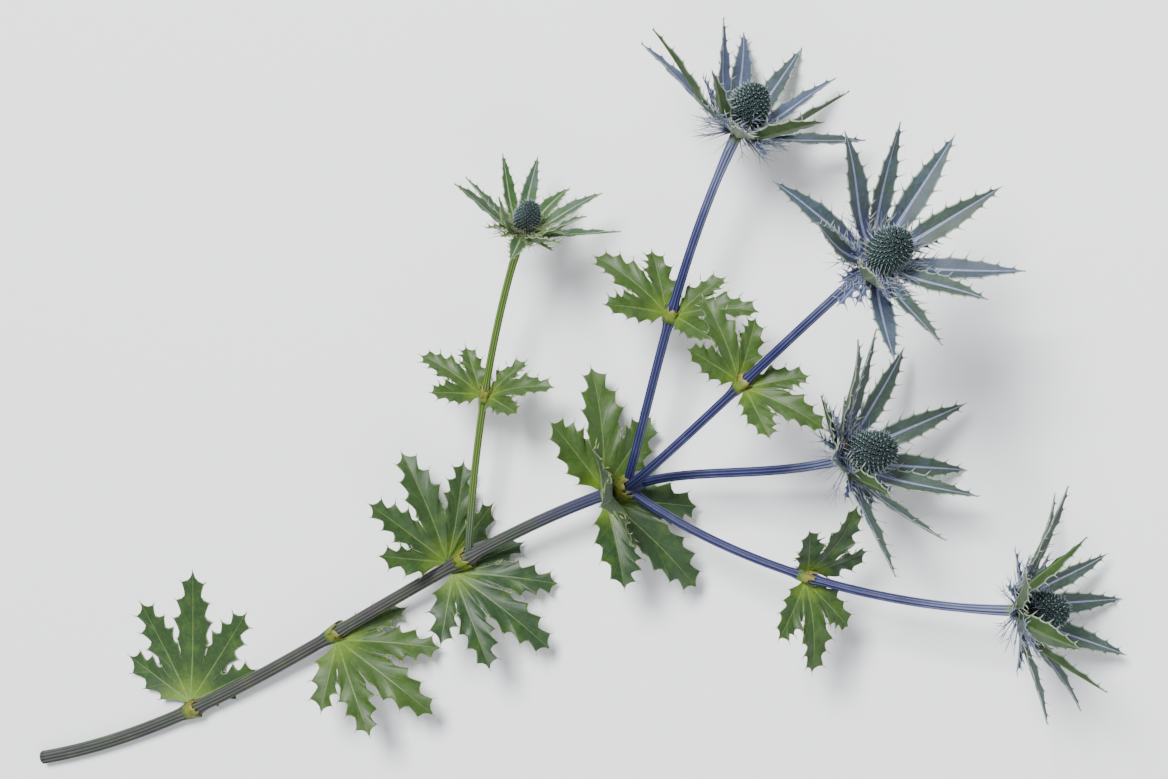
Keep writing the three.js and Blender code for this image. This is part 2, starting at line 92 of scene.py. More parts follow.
class Mark(str, Enum):
    """A value that every vertex carries, for the finishes to read."""

    RUN = "run"  # 0 at the root of a blade, stem or spine and 1 at its tip
    SIDE = "side"  # 0 on a blade's midrib or a stem's rib, 1 at the blade's edge or in the groove
    RIB = "rib"  # distance from a blade's midrib, in half widths of the midrib
    VEIN = "vein"  # a whole number on every side vein
    UNDER = "under"  # 1 on a blade's lower skin and on a stem's pith
    SPINE = "spine"  # 0 on a blade, and from 0.1 at a spine's root to 1 at its point
    TINT = "tint"  # a number for each blade
    JOINT = "joint"  # 1 in the middle of a stem's joint
    REACH = "reach"  # millimetres along a stem from its foot
    WIDE = "wide"  # place across a stem's section, from -1 to 1
    HIGH = "high"  # the same, square to it


class Slot(str, Enum):
    """The record's material slots."""

    STEM = "stem"
    STALK = "stalk"
    YOUNG_STALK = "young_stalk"
    BRACT = "bract"
    CONE = "cone"
    LEAF = "leaf"


# ---- small helpers


def part_way(low: float, high: float, share: float) -> float:
    """The value a share of the way from low to high."""
    return low + (high - low) * share


def clamp(value: float) -> float:
    """The value, kept between 0 and 1."""
    return max(0.0, min(1.0, value))


def polar(angle: float, radius: float = 1.0, height: float = 0.0) -> Vector:
    """The point at an angle in radians from +X, a distance from the Z axis and a height."""
    return Vector((radius * cos(angle), radius * sin(angle), height))


def totals(steps: Sequence[float] | np.ndarray) -> np.ndarray:
    """The running totals of some steps, from 0."""
    return np.concatenate(([0.0], np.cumsum(steps)))


def placement(origin: Vector, direction: Vector) -> Matrix:
    """The place of something whose +Z is turned to a direction by the shortest way."""
    turn = SKY.rotation_difference(direction.normalized())
    return Matrix.Translation(origin) @ turn.to_matrix().to_4x4()


@dataclass(frozen=True)
class Spread:
    """A range within which things of a kind differ."""

    low: float = 0.0
    high: float = 1.0
    row: int = 0  # where its numbers start in each seed's row

    def at(self, seed: int, index: int = 0) -> float:
        """The value of one thing, which is the same each time for the same seed and index."""
        wave = sin(seed * SCATTER[0] + (index + self.row) * SCATTER[1]) * SCATTER[2]
        return part_way(self.low, self.high, wave - floor(wave))


def linear(code: str) -> Row:
    """An sRGB hex colour as linear red, green, blue and alpha."""
    parts = [int(code[i : i + 2], 16) / 255 for i in (1, 3, 5)]
    return *(c / 12.92 if c <= 0.04045 else ((c + 0.055) / 1.055) ** 2.4 for c in parts), 1.0


def add_node(
    tree: NodeTree,
    kind: str,
    settings: dict[str, Any] | None = None,
    inputs: dict[str | int, Any] | None = None,
    output: str | int = 0,
) -> NodeSocket:
    """Adds a node with its settings, values and links.

    Args:
        tree: The material's node tree.
        kind: The node's type name, without its leading ShaderNode.
        settings: Values of the node's own properties.
        inputs: A value, or another node's output, for each named or numbered input.
        output: The name or number of the output to return.

    Returns:
        That output of the new node.
    """
    made = tree.nodes.new("ShaderNode" + kind)
    for name, value in (settings or {}).items():
        setattr(made, name, value)
    for key, value in (inputs or {}).items():
        if isinstance(value, NodeSocket):
            tree.links.new(value, made.inputs[key])
        else:
            made.inputs[key].default_value = value
    return made.outputs[output]


# ---- finishes


@dataclass(frozen=True)
class Grain:
    """Cloudy lumps of a real size in millimetres along X, Y and Z.

    One that follows a stem has X along it, and Y and Z as shares of its radius.
    """

    size: tuple[float, float, float]
    detail: float = 3.0
    along_stem: bool = False


CLOUDS = Grain((9.0, 9.0, 9.0))
CELLS = Grain((1.6, 1.6, 1.6), 4.0)
PORES = Grain((0.45, 0.45, 0.45), 2.0)  # real pores are finer, and are drawn as coarse as they show
STREAKS = Grain((18.0, 0.3, 0.3), 4.0, along_stem=True)
BLOTCHES = Grain((3.2, 2.4, 2.4))

NOISE_RANGE = 1.6  # noise keeps near its middle, so a span that it fills is this much wider
PORE_SHARE = 0.5  # how high the pores are, as a share of a finish's relief


@dataclass(frozen=True)
class Coat:
    """A colour that is laid on where a mark or a grain passes from start to end."""

    colour: str
    over: Mark | Grain
    start: float
    end: float
    strength: float = 1.0
    ragged: float = 0.0  # how far clouds push the coat's border, in the mark's own measure
    raised: float = 0.0  # how far it stands out, as a share of the finish's relief


@dataclass(frozen=True)
class Finish:
    """A surface: its ground colour, the coats on it, its dullness and its relief."""

    name: str
    ground: str
    coats: tuple[Coat, ...]
    under: str | None = None  # ground colour of the lower skin
    under_coats: tuple[Coat, ...] = ()
    rim_coats: tuple[Coat, ...] = ()  # laid last, on both skins
    mottle: Grain = CELLS
    mottle_depth: float = 0.25
    roughness: Pair = (0.45, 0.65)
    pores: Grain = PORES
    relief_mm: float = 0.15
    ior: float = 1.36

    def material(self) -> Material:
        """Makes the material with this finish, once.

        Returns:
            The material, which the pieces with this finish share.
        """
        if self.name in bpy.data.materials:
            return bpy.data.materials[self.name]
        made = bpy.data.materials.new(self.name)
        made.use_nodes = True
        tree = made.node_tree
        masks: dict[Coat, NodeSocket] = {}
        colour = self._laid(tree, linear(self.ground), self.coats, masks)
        if self.under:
            lower = self._laid(tree, linear(self.under), self.under_coats, masks)
            skin = add_node(tree, "Attribute", {"attribute_name": Mark.UNDER.value}, output="Fac")
            mixed = {0: skin, COLOUR_A: colour, COLOUR_B: lower}
            colour = add_node(tree, "Mix", {"data_type": "RGBA"}, mixed, output=COLOUR_OUT)
        colour = self._laid(tree, colour, self.rim_coats, masks)
        cells = self._grain(tree, self.mottle)
        depth = NOISE_RANGE * self.mottle_depth
        light = add_node(tree, "MapRange", {}, {"Value": cells, "To Min": 1 - depth, "To Max": 1 + depth})
        colour = add_node(tree, "VectorMath", {"operation": "SCALE"}, {0: colour, "Scale": light})
        pores = {0: self._grain(tree, self.pores), 1: PORE_SHARE}
        height = add_node(tree, "Math", {"operation": "MULTIPLY"}, pores)
        for coat, mask in masks.items():
            if coat.raised:
                raised = {0: mask, 1: coat.raised, 2: height}
                height = add_node(tree, "Math", {"operation": "MULTIPLY_ADD"}, raised)
        smooth, rough = self.roughness
        dull = add_node(tree, "MapRange", {}, {"Value": cells, "To Min": smooth, "To Max": rough})
        normal = add_node(tree, "Bump", {}, {"Distance": self.relief_mm * METRES, "Height": height})
        shader = tree.nodes["Principled BSDF"]
        shader.inputs["IOR"].default_value = self.ior
        for name, socket in (("Base Color", colour), ("Roughness", dull), ("Normal", normal)):
            tree.links.new(socket, shader.inputs[name])
        return made

    def _grain(self, tree: NodeTree, grain: Grain) -> NodeSocket:
        """Lays noise of a real size on the piece's own coordinates or on its stem's.

        Args:
            tree: The material's node tree.
            grain: The noise's size and detail.

        Returns:
            The noise, from 0 to 1.
        """
        if grain.along_stem:
            names = [mark.value for mark in (Mark.REACH, Mark.WIDE, Mark.HIGH)]
            parts = [add_node(tree, "Attribute", {"attribute_name": name}, output="Fac") for name in names]
            place = add_node(tree, "CombineXYZ", {}, dict(enumerate(parts)))
        else:
            place = add_node(tree, "TexCoord", output="Object")
        unit = 1.0 if grain.along_stem else METRES
        scale = [1.0 / (size * unit) for size in grain.size]
        spot = add_node(tree, "Mapping", {}, {"Vector": place, "Scale": scale})
        return add_node(tree, "TexNoise", {}, {"Vector": spot, "Scale": 1.0, "Detail": grain.detail})

    def _laid(
        self,
        tree: NodeTree,
        ground: Any,
        coats: Sequence[Coat],
        masks: dict[Coat, NodeSocket],
    ) -> Any:
        """Lays coats on a ground colour.

        Args:
            tree: The material's node tree.
            ground: The colour under them, as a value or a socket.
            coats: The coats, lowest first.
            masks: Filled with the socket of each coat's mask.

        Returns:
            The colour on top.
        """
        colour = ground
        for coat in coats:
            if isinstance(coat.over, Grain):
                value = self._grain(tree, coat.over)
            else:
                value = add_node(tree, "Attribute", {"attribute_name": coat.over.value}, output="Fac")
            if coat.over is Mark.VEIN:
                value = add_node(tree, "Math", {"operation": "PINGPONG"}, {0: value, 1: 0.5})
            if coat.ragged:
                clouds = self._grain(tree, CLOUDS)
                push = add_node(tree, "Math", {"operation": "SUBTRACT"}, {0: clouds, 1: 0.5})
                pushed = {0: push, 1: coat.ragged, 2: value}
                value = add_node(tree, "Math", {"operation": "MULTIPLY_ADD"}, pushed)
            span = {"Value": value, "From Min": coat.start, "From Max": coat.end, "To Max": coat.strength}
            mask = add_node(tree, "MapRange", {"interpolation_type": "SMOOTHSTEP"}, span)
            mixed = {0: mask, COLOUR_A: colour, COLOUR_B: linear(coat.colour)}
            colour = add_node(tree, "Mix", {"data_type": "RGBA"}, mixed, output=COLOUR_OUT)
            masks[coat] = mask
        return colour


def spine_coats(root: str, point: str = "#826A48") -> tuple[Coat, Coat]:
    """The coats of a blade's spines: the colour of their root and that of their point."""
    return Coat(root, Mark.SPINE, 0.02, 0.12), Coat(point, Mark.SPINE, 0.7, 1.0)


# Waxy bract, as grown: a thin grey-blue bloom over teal tissue gives a satin look with no hard
# highlight, and the hard rim, the midrib and the side veins are paler and stand out.
BRACT = Finish(
    name="waxy_bract",
    ground="#37453C",
    coats=(
        Coat("#3C4461", Mark.TINT, 0.45, 0.95, 0.9, ragged=0.5),
        Coat("#435955", CLOUDS, 0.48, 0.68, 0.4),
        Coat("#3A3868", Mark.RUN, 0.42, 0.04, ragged=0.3),
        Coat("#627175", Mark.VEIN, 0.05, 0.0, 0.3, raised=0.4),
        Coat("#7980A0", Mark.RIB, 1.2, 0.65, raised=1.0),
    ),
    under="#2E431E",
    under_coats=(
        Coat("#40592E", CLOUDS, 0.42, 0.66, 0.5),
        Coat("#42477F", Mark.RUN, 0.2, 0.0, ragged=0.12),
        Coat("#213519", Mark.VEIN, 0.05, 0.0, 0.3, raised=0.3),
        Coat("#4F663A", Mark.RIB, 1.0, 0.7, raised=1.0),
    ),
    rim_coats=(Coat("#8A9986", Mark.SIDE, 0.85, 0.97), *spine_coats("#98A190")),
    roughness=(0.46, 0.64),
    relief_mm=0.09,
)

# The same tissue before its blue has come: fresh green with a paler rim.
YOUNG_BRACT = replace(
    BRACT,
    name="young_waxy_bract",
    ground="#304E22",
    coats=(
        Coat("#3D4F53", Mark.TINT, 0.1, 0.9, 0.75, ragged=0.9),
        Coat("#577427", Mark.RUN, 0.4, 0.05, ragged=0.3),
        Coat("#627C4C", Mark.VEIN, 0.05, 0.0, 0.3, raised=0.4),
        Coat("#7C8F69", Mark.RIB, 1.15, 0.8, raised=1.0),
    ),
    under="#335220",
    under_coats=(
        Coat("#577427", Mark.RUN, 0.3, 0.0, ragged=0.2),
        Coat("#253D19", Mark.VEIN, 0.05, 0.0, 0.3, raised=0.3),
        Coat("#556F39", Mark.RIB, 1.0, 0.7, raised=1.0),
    ),
    rim_coats=(Coat("#84956E", Mark.SIDE, 0.85, 0.97), *spine_coats("#95A07D")),
)

# The small bracts of the same tissue: violet and silvery, teal only along the blade.
COMB = Finish(
    name="silvery_comb_bract",
    ground="#444F6F",
    coats=(
        Coat("#39534B", Mark.TINT, 0.35, 0.8, 0.85),
        Coat("#363A72", Mark.RUN, 0.5, 0.1),
        Coat("#7982A0", Mark.RIB, 1.3, 0.8),
    ),
    under="#444F6F",
    rim_coats=(Coat("#778292", Mark.SIDE, 0.6, 1.0), *spine_coats("#8F97A5")),
    mottle_depth=0.15,
    roughness=(0.36, 0.55),
    relief_mm=0.08,
)

YOUNG_COMB = replace(
    COMB,
    name="green_comb_bract",
    ground="#466328",
    coats=(Coat("#627E2C", Mark.RUN, 0.45, 0.1), Coat("#7A8D60", Mark.RIB, 1.3, 0.8)),
    under="#466328",
    rim_coats=(Coat("#7E8D66", Mark.SIDE, 0.6, 1.0), *spine_coats("#8F9A76")),
)

# Leathery leaf, as grown: a smooth, satin cuticle over a net of sunken veins, yellow-green
# at the clasping base, with a pale thickened rim that runs out into straw-coloured spines.
LEAF = Finish(
    name="leathery_leaf",
    ground="#324A1A",
    coats=(
        Coat("#213820", Mark.TINT, 0.35, 0.95, 0.85, ragged=0.5),
        Coat("#415C20", CLOUDS, 0.46, 0.7, 0.5),
        Coat("#5A7420", Mark.RUN, 0.3, 0.02, ragged=0.2),
        Coat("#4A672F", Mark.VEIN, 0.05, 0.0, 0.35, raised=-0.8),
        Coat("#6A8048", Mark.RIB, 0.9, 0.4, 0.5, raised=-0.6),
    ),
    under="#344B2A",
    under_coats=(
        Coat("#597524", Mark.RUN, 0.3, 0.02, ragged=0.2),
        Coat("#566F44", Mark.VEIN, 0.09, 0.0, 0.6, raised=1.0),
        Coat("#6F8255", Mark.RIB, 1.2, 0.7, raised=1.0),
    ),
    rim_coats=(Coat("#6B7C4C", Mark.SIDE, 0.95, 1.0, 0.75), *spine_coats("#949A76", "#7C6036")),
    roughness=(0.36, 0.54),
    relief_mm=0.13,
    ior=1.4,
)

# Fibrous main stem, as grown: fine lengthwise ribs, grey-green crests over purple-grey grooves.
STEM = Finish(
    name="fibrous_stem",
    ground="#454D3F",
    coats=(
        Coat("#575A40", CLOUDS, 0.5, 0.7, 0.6),
        Coat("#3A2E40", STREAKS, 0.45, 0.65, 0.75),
        Coat("#211D2E", Mark.SIDE, 0.4, 1.0, 0.8),
        Coat("#242859", Mark.RUN, 0.78, 1.0, 0.75, ragged=0.2),
        Coat("#636F28", Mark.JOINT, 0.5, 1.0, 0.8, ragged=0.5),
        Coat("#4A2D14", STREAKS, 0.62, 0.72, 0.4),
    ),
    under="#A0A282",
    under_coats=(Coat("#877955", CELLS, 0.5, 0.7, 0.5),),
    mottle=STREAKS,
    mottle_depth=0.22,
    pores=STREAKS,
    roughness=(0.42, 0.66),
    relief_mm=0.25,
)

# Flower stalk with the blue in it: pale lavender ribs near the head over deep blue-violet, satin.
STALK = Finish(
    name="blue_stalk",
    ground="#2E2F5E",
    coats=(
        Coat("#1E2151", STREAKS, 0.4, 0.62, 0.8),
        Coat("#4A537A", CLOUDS, 0.5, 0.7, 0.35),
        Coat("#727B99", Mark.RUN, 0.62, 1.0, 0.9, ragged=0.2),
        Coat("#14173C", Mark.SIDE, 0.3, 0.9, 0.9),
        Coat("#6C738F", Mark.SIDE, 0.2, 0.02, 0.5, raised=0.6),
        Coat("#566F28", Mark.JOINT, 0.6, 1.0, 0.9, ragged=0.5),
        Coat("#171B3D", Mark.RUN, 0.3, 0.0, 0.6, ragged=0.3),
        Coat("#637C2D", Mark.RUN, 0.975, 1.0, 0.8),
    ),
    mottle=STREAKS,
    mottle_depth=0.2,
    pores=STREAKS,
    roughness=(0.3, 0.48),
    relief_mm=0.16,
)

# Flower stalk that is still green: lime ribs over mid-green grooves.
YOUNG_STALK = replace(
    STALK,
    name="green_stalk",
    ground="#59722A",
    coats=(
        Coat("#415E20", STREAKS, 0.4, 0.62, 0.7),
        Coat("#2C4517", Mark.SIDE, 0.3, 0.95),
        Coat("#3A374F", Mark.RUN, 0.3, 0.0, 0.6, ragged=0.2),
        Coat("#7A8C51", Mark.SIDE, 0.22, 0.03, 0.55, raised=0.6),
        Coat("#6F7028", Mark.JOINT, 0.6, 1.0, ragged=0.4),
    ),
    mottle_depth=0.18,
)

# Hard, dry needle of the ruff: violet at its root, silvery along its length, straw at the point.
NEEDLE_POINT = Coat("#79613C", Mark.RUN, 0.88, 1.0)
NEEDLE = Finish(
    name="silvery_needle",
    ground="#393C75",
    coats=(
        Coat("#8B92A7", Mark.RUN, 0.08, 0.5),
        Coat("#63736D", Mark.TINT, 0.5, 0.9, 0.7),
        NEEDLE_POINT,
    ),
    mottle_depth=0.12,
    roughness=(0.35, 0.5),
    relief_mm=0.04,
)

YOUNG_NEEDLE = replace(
    NEEDLE,
    name="green_needle",
    ground="#57702D",
    coats=(Coat("#7E8D63", Mark.RUN, 0.15, 0.6), NEEDLE_POINT),
)

# Fleshy seat of the head, where the bracts join: yellow-green below and violet above.
SEAT = Finish(
    name="fleshy_seat",
    ground="#65752A",
    coats=(Coat("#42457C", Mark.RUN, 0.3, 0.7, ragged=0.2),),
    roughness=(0.45, 0.6),
    relief_mm=0.2,
)

YOUNG_SEAT = replace(
    SEAT,
    name="green_fleshy_seat",
    ground="#6B802E",
    coats=(Coat("#56702D", Mark.RUN, 0.3, 0.8, ragged=0.2),),
)

# Closed florets: dry, tight cups in dark teal whose teeth and bractlets are hard, bright points. Their
# near-black ground, on the core between them and on their sunk feet, is painted shade, and each cup lightens
# towards its rim.
FLORET_WITH_PAINTED_SHADE = Finish(
    name="dry_floret",
    # near black: painted shade in the gaps between the florets, on the core and on the cups' feet
    ground="#081214",
    coats=(
        # lightens each cup from its painted-shade foot to the dark teal of its rim
        Coat("#112629", Mark.RUN, 0.4, 1.0),
        Coat("#1D3533", Mark.TINT, 0.5, 0.95, 0.6),
        Coat("#1B3032", Mark.SPINE, 0.05, 0.3, 0.8),
        Coat("#9AADAC", Mark.SPINE, 0.42, 0.85),
    ),
    mottle_depth=0.3,
    roughness=(0.4, 0.6),
    relief_mm=0.08,
)

# Papery scales at the cone's foot: dry and rosy brown.
SCALE = Finish(
    name="papery_scale",
    ground="#513F5F",
    coats=(Coat("#7C4730", Mark.RUN, 0.15, 0.6), Coat("#957156", Mark.RUN, 0.8, 1.0, 0.8)),
    mottle_depth=0.2,
    roughness=(0.5, 0.7),
    relief_mm=0.08,
)

# Papery sheath round a joint: the leaf bases' own yellow-green, with brown blotches and a dry rim.
SHEATH = Finish(
    name="papery_sheath",
    ground="#5C6E23",
    coats=(
        Coat("#726B2C", CLOUDS, 0.45, 0.65, 0.7),
        Coat("#456220", Mark.RUN, 0.5, 0.1, 0.8, ragged=0.3),
        Coat("#877C4E", Mark.RUN, 0.86, 1.0, 0.7, ragged=0.2),
        Coat("#502A10", BLOTCHES, 0.54, 0.64, 0.85),
    ),
    mottle_depth=0.3,
    roughness=(0.42, 0.66),
    relief_mm=0.3,
)


# ---- tissue


class Tissue:
    """A mesh in the making whose vertices carry the marks."""

    spine_root: float = 0.1  # the spine mark at a spine's foot

    def __init__(self) -> None:
        """Starts an empty mesh with a layer for each mark."""
        self.mesh: BMesh = bmesh.new()
        for mark in Mark:
            self.mesh.verts.layers.float.new(mark.value)

    def layers(self, *marks: Mark) -> list[BMLayerItem]:
        """The layers of some marks."""
        return [self.mesh.verts.layers.float[mark.value] for mark in marks]

    def stamp(self, verts: Sequence[BMVert], values: dict[Mark, float]) -> None:
        """Gives the same marks to some vertices."""
        for vert, (layer, value) in product(verts, zip(self.layers(*values), values.values())):
            vert[layer] = value

    def face_out(self) -> None:
        """Turns every face outwards."""
        bmesh.ops.recalc_face_normals(self.mesh, faces=list(self.mesh.faces))

    def weld(self) -> None:
        """Makes one of points that lie on each other."""
        bmesh.ops.remove_doubles(self.mesh, verts=list(self.mesh.verts), dist=WELD)

    def kept(self) -> Mesh:
        """Turns the tissue into a mesh that can be planted many times, and uses it up.

        Returns:
            The mesh, which lasts until the next piece is finished.
        """
        self.face_out()
        shape = bpy.data.meshes.new(KEPT)
        self.mesh.to_mesh(shape)
        self.mesh.free()
        return shape

    def plant(self, shape: Mesh, place: Matrix, tint: float = 0.0) -> None:
        """Adds a copy of a kept mesh.

        Args:
            shape: The kept mesh.
            place: Where its own origin and axes go.
            tint: The tint mark of all of its vertices.
        """
        first = len(self.mesh.verts)
        self.mesh.from_mesh(shape)
        self.mesh.verts.ensure_lookup_table()
        added = self.mesh.verts[first:]
        bmesh.ops.transform(self.mesh, matrix=place, verts=added)
        self.stamp(added, {Mark.TINT: tint})

    def spike(self, foot: Vector, point: Vector, radius: float, corners: int = 4) -> list[BMVert]:
        """Adds a straight, closed spine.

        Args:
            foot: The middle of its foot.
            point: Its point.
            radius: The foot's radius.
            corners: How many corners the foot has.

        Returns:
            Its vertices.
        """
        reach = point - foot
        size = {"segments": corners, "radius1": radius, "radius2": 0.0, "depth": reach.length}
        place = placement((foot + point) / 2, reach)
        made = bmesh.ops.create_cone(self.mesh, cap_ends=True, matrix=place, **size)["verts"]
        run, spine = self.layers(Mark.RUN, Mark.SPINE)
        for vert in made:
            share = clamp((vert.co - foot).dot(reach) / reach.length_squared)
            vert[run], vert[spine] = share, part_way(self.spine_root, 1.0, share)
        return made

    def sweep(self, section: Sequence[Vector], sections: Sequence[tuple[float, Matrix]]) -> None:
        """Adds a closed body by carrying a section through a row of places.

        Args:
            section: The section's points in order round it, each with its side mark as Z.
            sections: The run mark and the place of each section, in which +Z points along the body.
        """
        run, side, wide, high = self.layers(Mark.RUN, Mark.SIDE, Mark.WIDE, Mark.HIGH)
        made = bmesh.ops.create_circle(self.mesh, cap_ends=True, segments=len(section), radius=1.0)
        verts: list[BMVert] = made["verts"]
        for vert, (x, y, mark) in zip(verts, section):
            vert.co = Vector((x, y, 0.0))
            vert[side], vert[wide], vert[high] = mark, x, y
        edges = list({edge for vert in verts for edge in vert.link_edges})
        now = Matrix()
        for step, (share, place) in enumerate(sections):
            if step:
                grown = bmesh.ops.extrude_edge_only(self.mesh, edges=edges)["geom"]
                verts = [item for item in grown if isinstance(item, BMVert)]
                new = set(verts)
                edges = [e for e in grown if isinstance(e, BMEdge) and new.issuperset(e.verts)]
            bmesh.ops.transform(self.mesh, matrix=place @ now.inverted(), verts=verts)
            now = place
            for vert in verts:
                vert[run] = share
        bmesh.ops.contextual_create(self.mesh, geom=edges)

    def turn(self, profile: Sequence[tuple[float, float, float]], sides: int) -> None:
        """Adds a solid body by turning a profile round the Z axis.

        Args:
            profile: The radius, height and run mark of each point, from end to end of the axis.
            sides: How many sides the body has.
        """
        run = self.layers(Mark.RUN)[0]
        corners = []
        for radius, height, mark in profile:
            corners.append(self.mesh.verts.new((radius, 0.0, height)))
            corners[-1][run] = mark
        edges = [self.mesh.edges.new(pair) for pair in zip(corners, corners[1:])]
        full = {"cent": Vector(), "axis": SKY, "angle": tau, "steps": sides, "use_merge": True}
        bmesh.ops.spin(self.mesh, geom=corners + edges, **full)
        self.weld()

    def thicken(self, wall: Callable[[float, float], float]) -> None:
        """Gives an open skin its wall, on its underside.

        Args:
            wall: The wall's thickness at a run mark and a side mark.
        """
        run, side, under = self.layers(Mark.RUN, Mark.SIDE, Mark.UNDER)
        self.mesh.normal_update()
        upper: list[BMFace] = list(self.mesh.faces)
        grown = bmesh.ops.extrude_face_region(self.mesh, geom=upper, use_keep_orig=True)["geom"]
        for vert in (item for item in grown if isinstance(item, BMVert)):
            vert.co -= vert.normal * wall(vert[run], vert[side])
            vert[under] = 1.0


def dress(tissue: Tissue, node: str, ending: str, finish: Finish, slot: Slot, wall: float = 0.0) -> None:
    """Finishes a piece: its metres, its place, its material and the node that it stands for.

    Args:
        tissue: The piece's mesh, in millimetres and in the stem's frame; it is used up.
        node: The CAD node that it stands for.
        ending: What the piece's name adds to the node's.
        finish: Its surface.
        slot: The record's material slot; it is not used.
        wall: The thickness that it keeps where it is pressed on the surface.
    """
    name = f"{node}_{ending}"
    under = tissue.layers(Mark.UNDER)[0]
    for vert in tissue.mesh.verts:
        vert.co.z = max(vert.co.z, PRESSED + wall * (1.0 - vert[under]))
    place = Matrix.Diagonal((METRES, METRES, METRES, 1.0)) @ Matrix.Translation(-CENTRE)
    bmesh.ops.transform(tissue.mesh, matrix=place, verts=tissue.mesh.verts)
    for face in tissue.mesh.faces:
        face.smooth = True
    shape = bpy.data.meshes.new(name)
    tissue.mesh.to_mesh(shape)
    tissue.mesh.free()
    for old in [mesh for mesh in bpy.data.meshes if mesh.name.startswith(KEPT)]:
        bpy.data.meshes.remove(old)
    shape.materials.append(finish.material())
    piece = bpy.data.objects.new(name, shape)
    bpy.context.scene.collection.objects.link(piece)
    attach(piece, BODY)
    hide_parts(node)
    shape.calc_loop_triangles()
    LOG.info("%s: %s, %d triangles, for %s", name, finish.name, len(shape.loop_triangles), node)


# ---- paths


@dataclass(frozen=True)
class Station:
    """A point on a path with the directions along it, up from it and to its side."""

    origin: Vector
    along: Vector
    up: Vector
    side: Vector

    def outward(self, degrees: float) -> Vector:
        """The direction out of a stem at an angle round it, from up towards its side."""
        angle = radians(degrees)
        return self.up * cos(angle) + self.side * sin(angle)


@dataclass
class Path:
    """A smooth path with a handle at each end, measured by its length."""

    start: Vector
    leave: Vector
    arrive: Vector
    end: Vector
    length: float = field(init=False)

    def __post_init__(self) -> None:
        """Measures the path in short steps."""
        self._parameters = np.linspace(0.0, 1.0, STEPS + 1)
        points = [self._at(parameter) for parameter in self._parameters.tolist()]
        self._lengths = totals([(after - before).length for before, after in zip(points, points[1:])])
        self.length = float(self._lengths[-1])

    def _at(self, u: float) -> Vector:
        """The point at a parameter from 0 to 1."""
        v = 1.0 - u
        return v**3 * self.start + u**3 * self.end + 3 * v * v * u * self.leave + 3 * v * u * u * self.arrive

    def station(self, share: float) -> Station:
        """Finds a place on the path.

        Args:
            share: How far along it is, as a share of the length.

        Returns:
            The point and the directions there.
        """
        u = float(np.interp(share * self.length, self._lengths, self._parameters))
        v = 1.0 - u
        along = v * v * (self.leave - self.start) + 2 * u * v * (self.arrive - self.leave)
        along += u * u * (self.end - self.arrive)
        along.normalize()
        up = (SKY - along * along.z).normalized()
        return Station(self._at(u), along, up, up.cross(along))

    def sections(self, count: int, radius: Callable[[float], float]) -> Iterator[tuple[float, Matrix]]:
        """Even places along the path, whose frames follow it without twisting.

        Args:
            count: How many steps there are from start to end.
            radius: The size of the section at a share of the length.

        Yields:
            The share of the length and the section's place.
        """
        before = SKY
        turn = Quaternion()
        for step in range(count + 1):
            share = step / count
            here = self.station(share)
            turn = before.rotation_difference(here.along) @ turn
            before = here.along
            size = Matrix.Diagonal((radius(share), radius(share), 1.0, 1.0))
            yield share, Matrix.Translation(here.origin) @ turn.to_matrix().to_4x4() @ size


# ---- blades


@dataclass(frozen=True)
class BladeForm:
    """What the blades of a kind share; a head's size scales the teeth, spines and midrib."""

    tooth: float  # a tooth's length, which in a leaf is a share of its size
    fold: float  # how steeply the halves are folded up
    spines: Pair  # lengths nearest the root and nearest the tip
    spine_lean: float  # how far the spines point along the lobe, as a share of out
    spine_radius: float
    rib: Pair  # half width of the midrib, at the root and at the tip
    ruffle: float = 0.0  # how far the edge waves up and down
    vein: float = 0.24  # how far below its tooth a side vein leaves the midrib, as a share of the blade
    columns: Row = (0.0, 0.08, 0.3, 0.58, 0.84, 1.0)  # the shares across with points
    walls: Pair = (0.55, 0.38)  # thickness beside the midrib and at the edge
    keel: float = 0.5  # how far the midrib stands out below
    keel_width: float = 0.1
    slimness: float = 1.0  # above 1, the root and tip are drawn out
    belly: float = 0.95  # below 1, a lobe is widest nearer its root
    tooth_width: float = 0.3  # how far a tooth runs on towards the tip, as a share of their spacing
    tooth_rise: float = 1.8  # how much longer its flank towards the root is
    tooth_drift: float = 0.35  # how far it points along the lobe, as a share of its length
    flanks: Pair = (1.4, 1.9)  # above 1, its flanks towards tip and root curve in
    parts: Row = (0.0, 0.08, 0.2, 0.42, 0.64, 0.8, 0.92)  # of a spacing, with points
    last_row: float = 0.99  # no points lie between this share and the tip
    spare: float = 0.75  # how many spacings there are from the last tooth to the tip
    feet: Pair = (0.95, 0.985)  # how far out a tooth's spine starts, and the tip's along
    spine_sunk: float = 0.1
    spine_sizes: Spread = Spread(0.8, 1.25, 300)
    spine_rises: Spread = Spread(-0.25, 0.45, 340)


class BladeKind(Enum):
    """The kinds of blades."""

    BRACT = BladeForm(0.75, 0.3, (5.6, 1.5), 0.8, 0.33, (0.95, 0.14), 0.4, slimness=1.2, tooth_width=0.17)
    COMB = BladeForm(
        1.7, 0.35, (6.0, 2.6), 1.0, 0.36, (0.5, 0.2),
        columns=(0.0, 0.25, 0.7, 1.0), walls=(0.45, 0.35), keel=0.3,
    )
    LEAF = BladeForm(
        0.052, 0.28, (3.0, 2.4), 0.9, 0.34, (0.75, 0.12), 1.3, 0.16, (0.0, 0.06, 0.24, 0.5, 0.78, 0.93, 1.0),
        keel=0.7, flanks=(1.1, 1.225),
    )
    FLAT_LEAF = replace(LEAF, fold=0.04, ruffle=0.15)


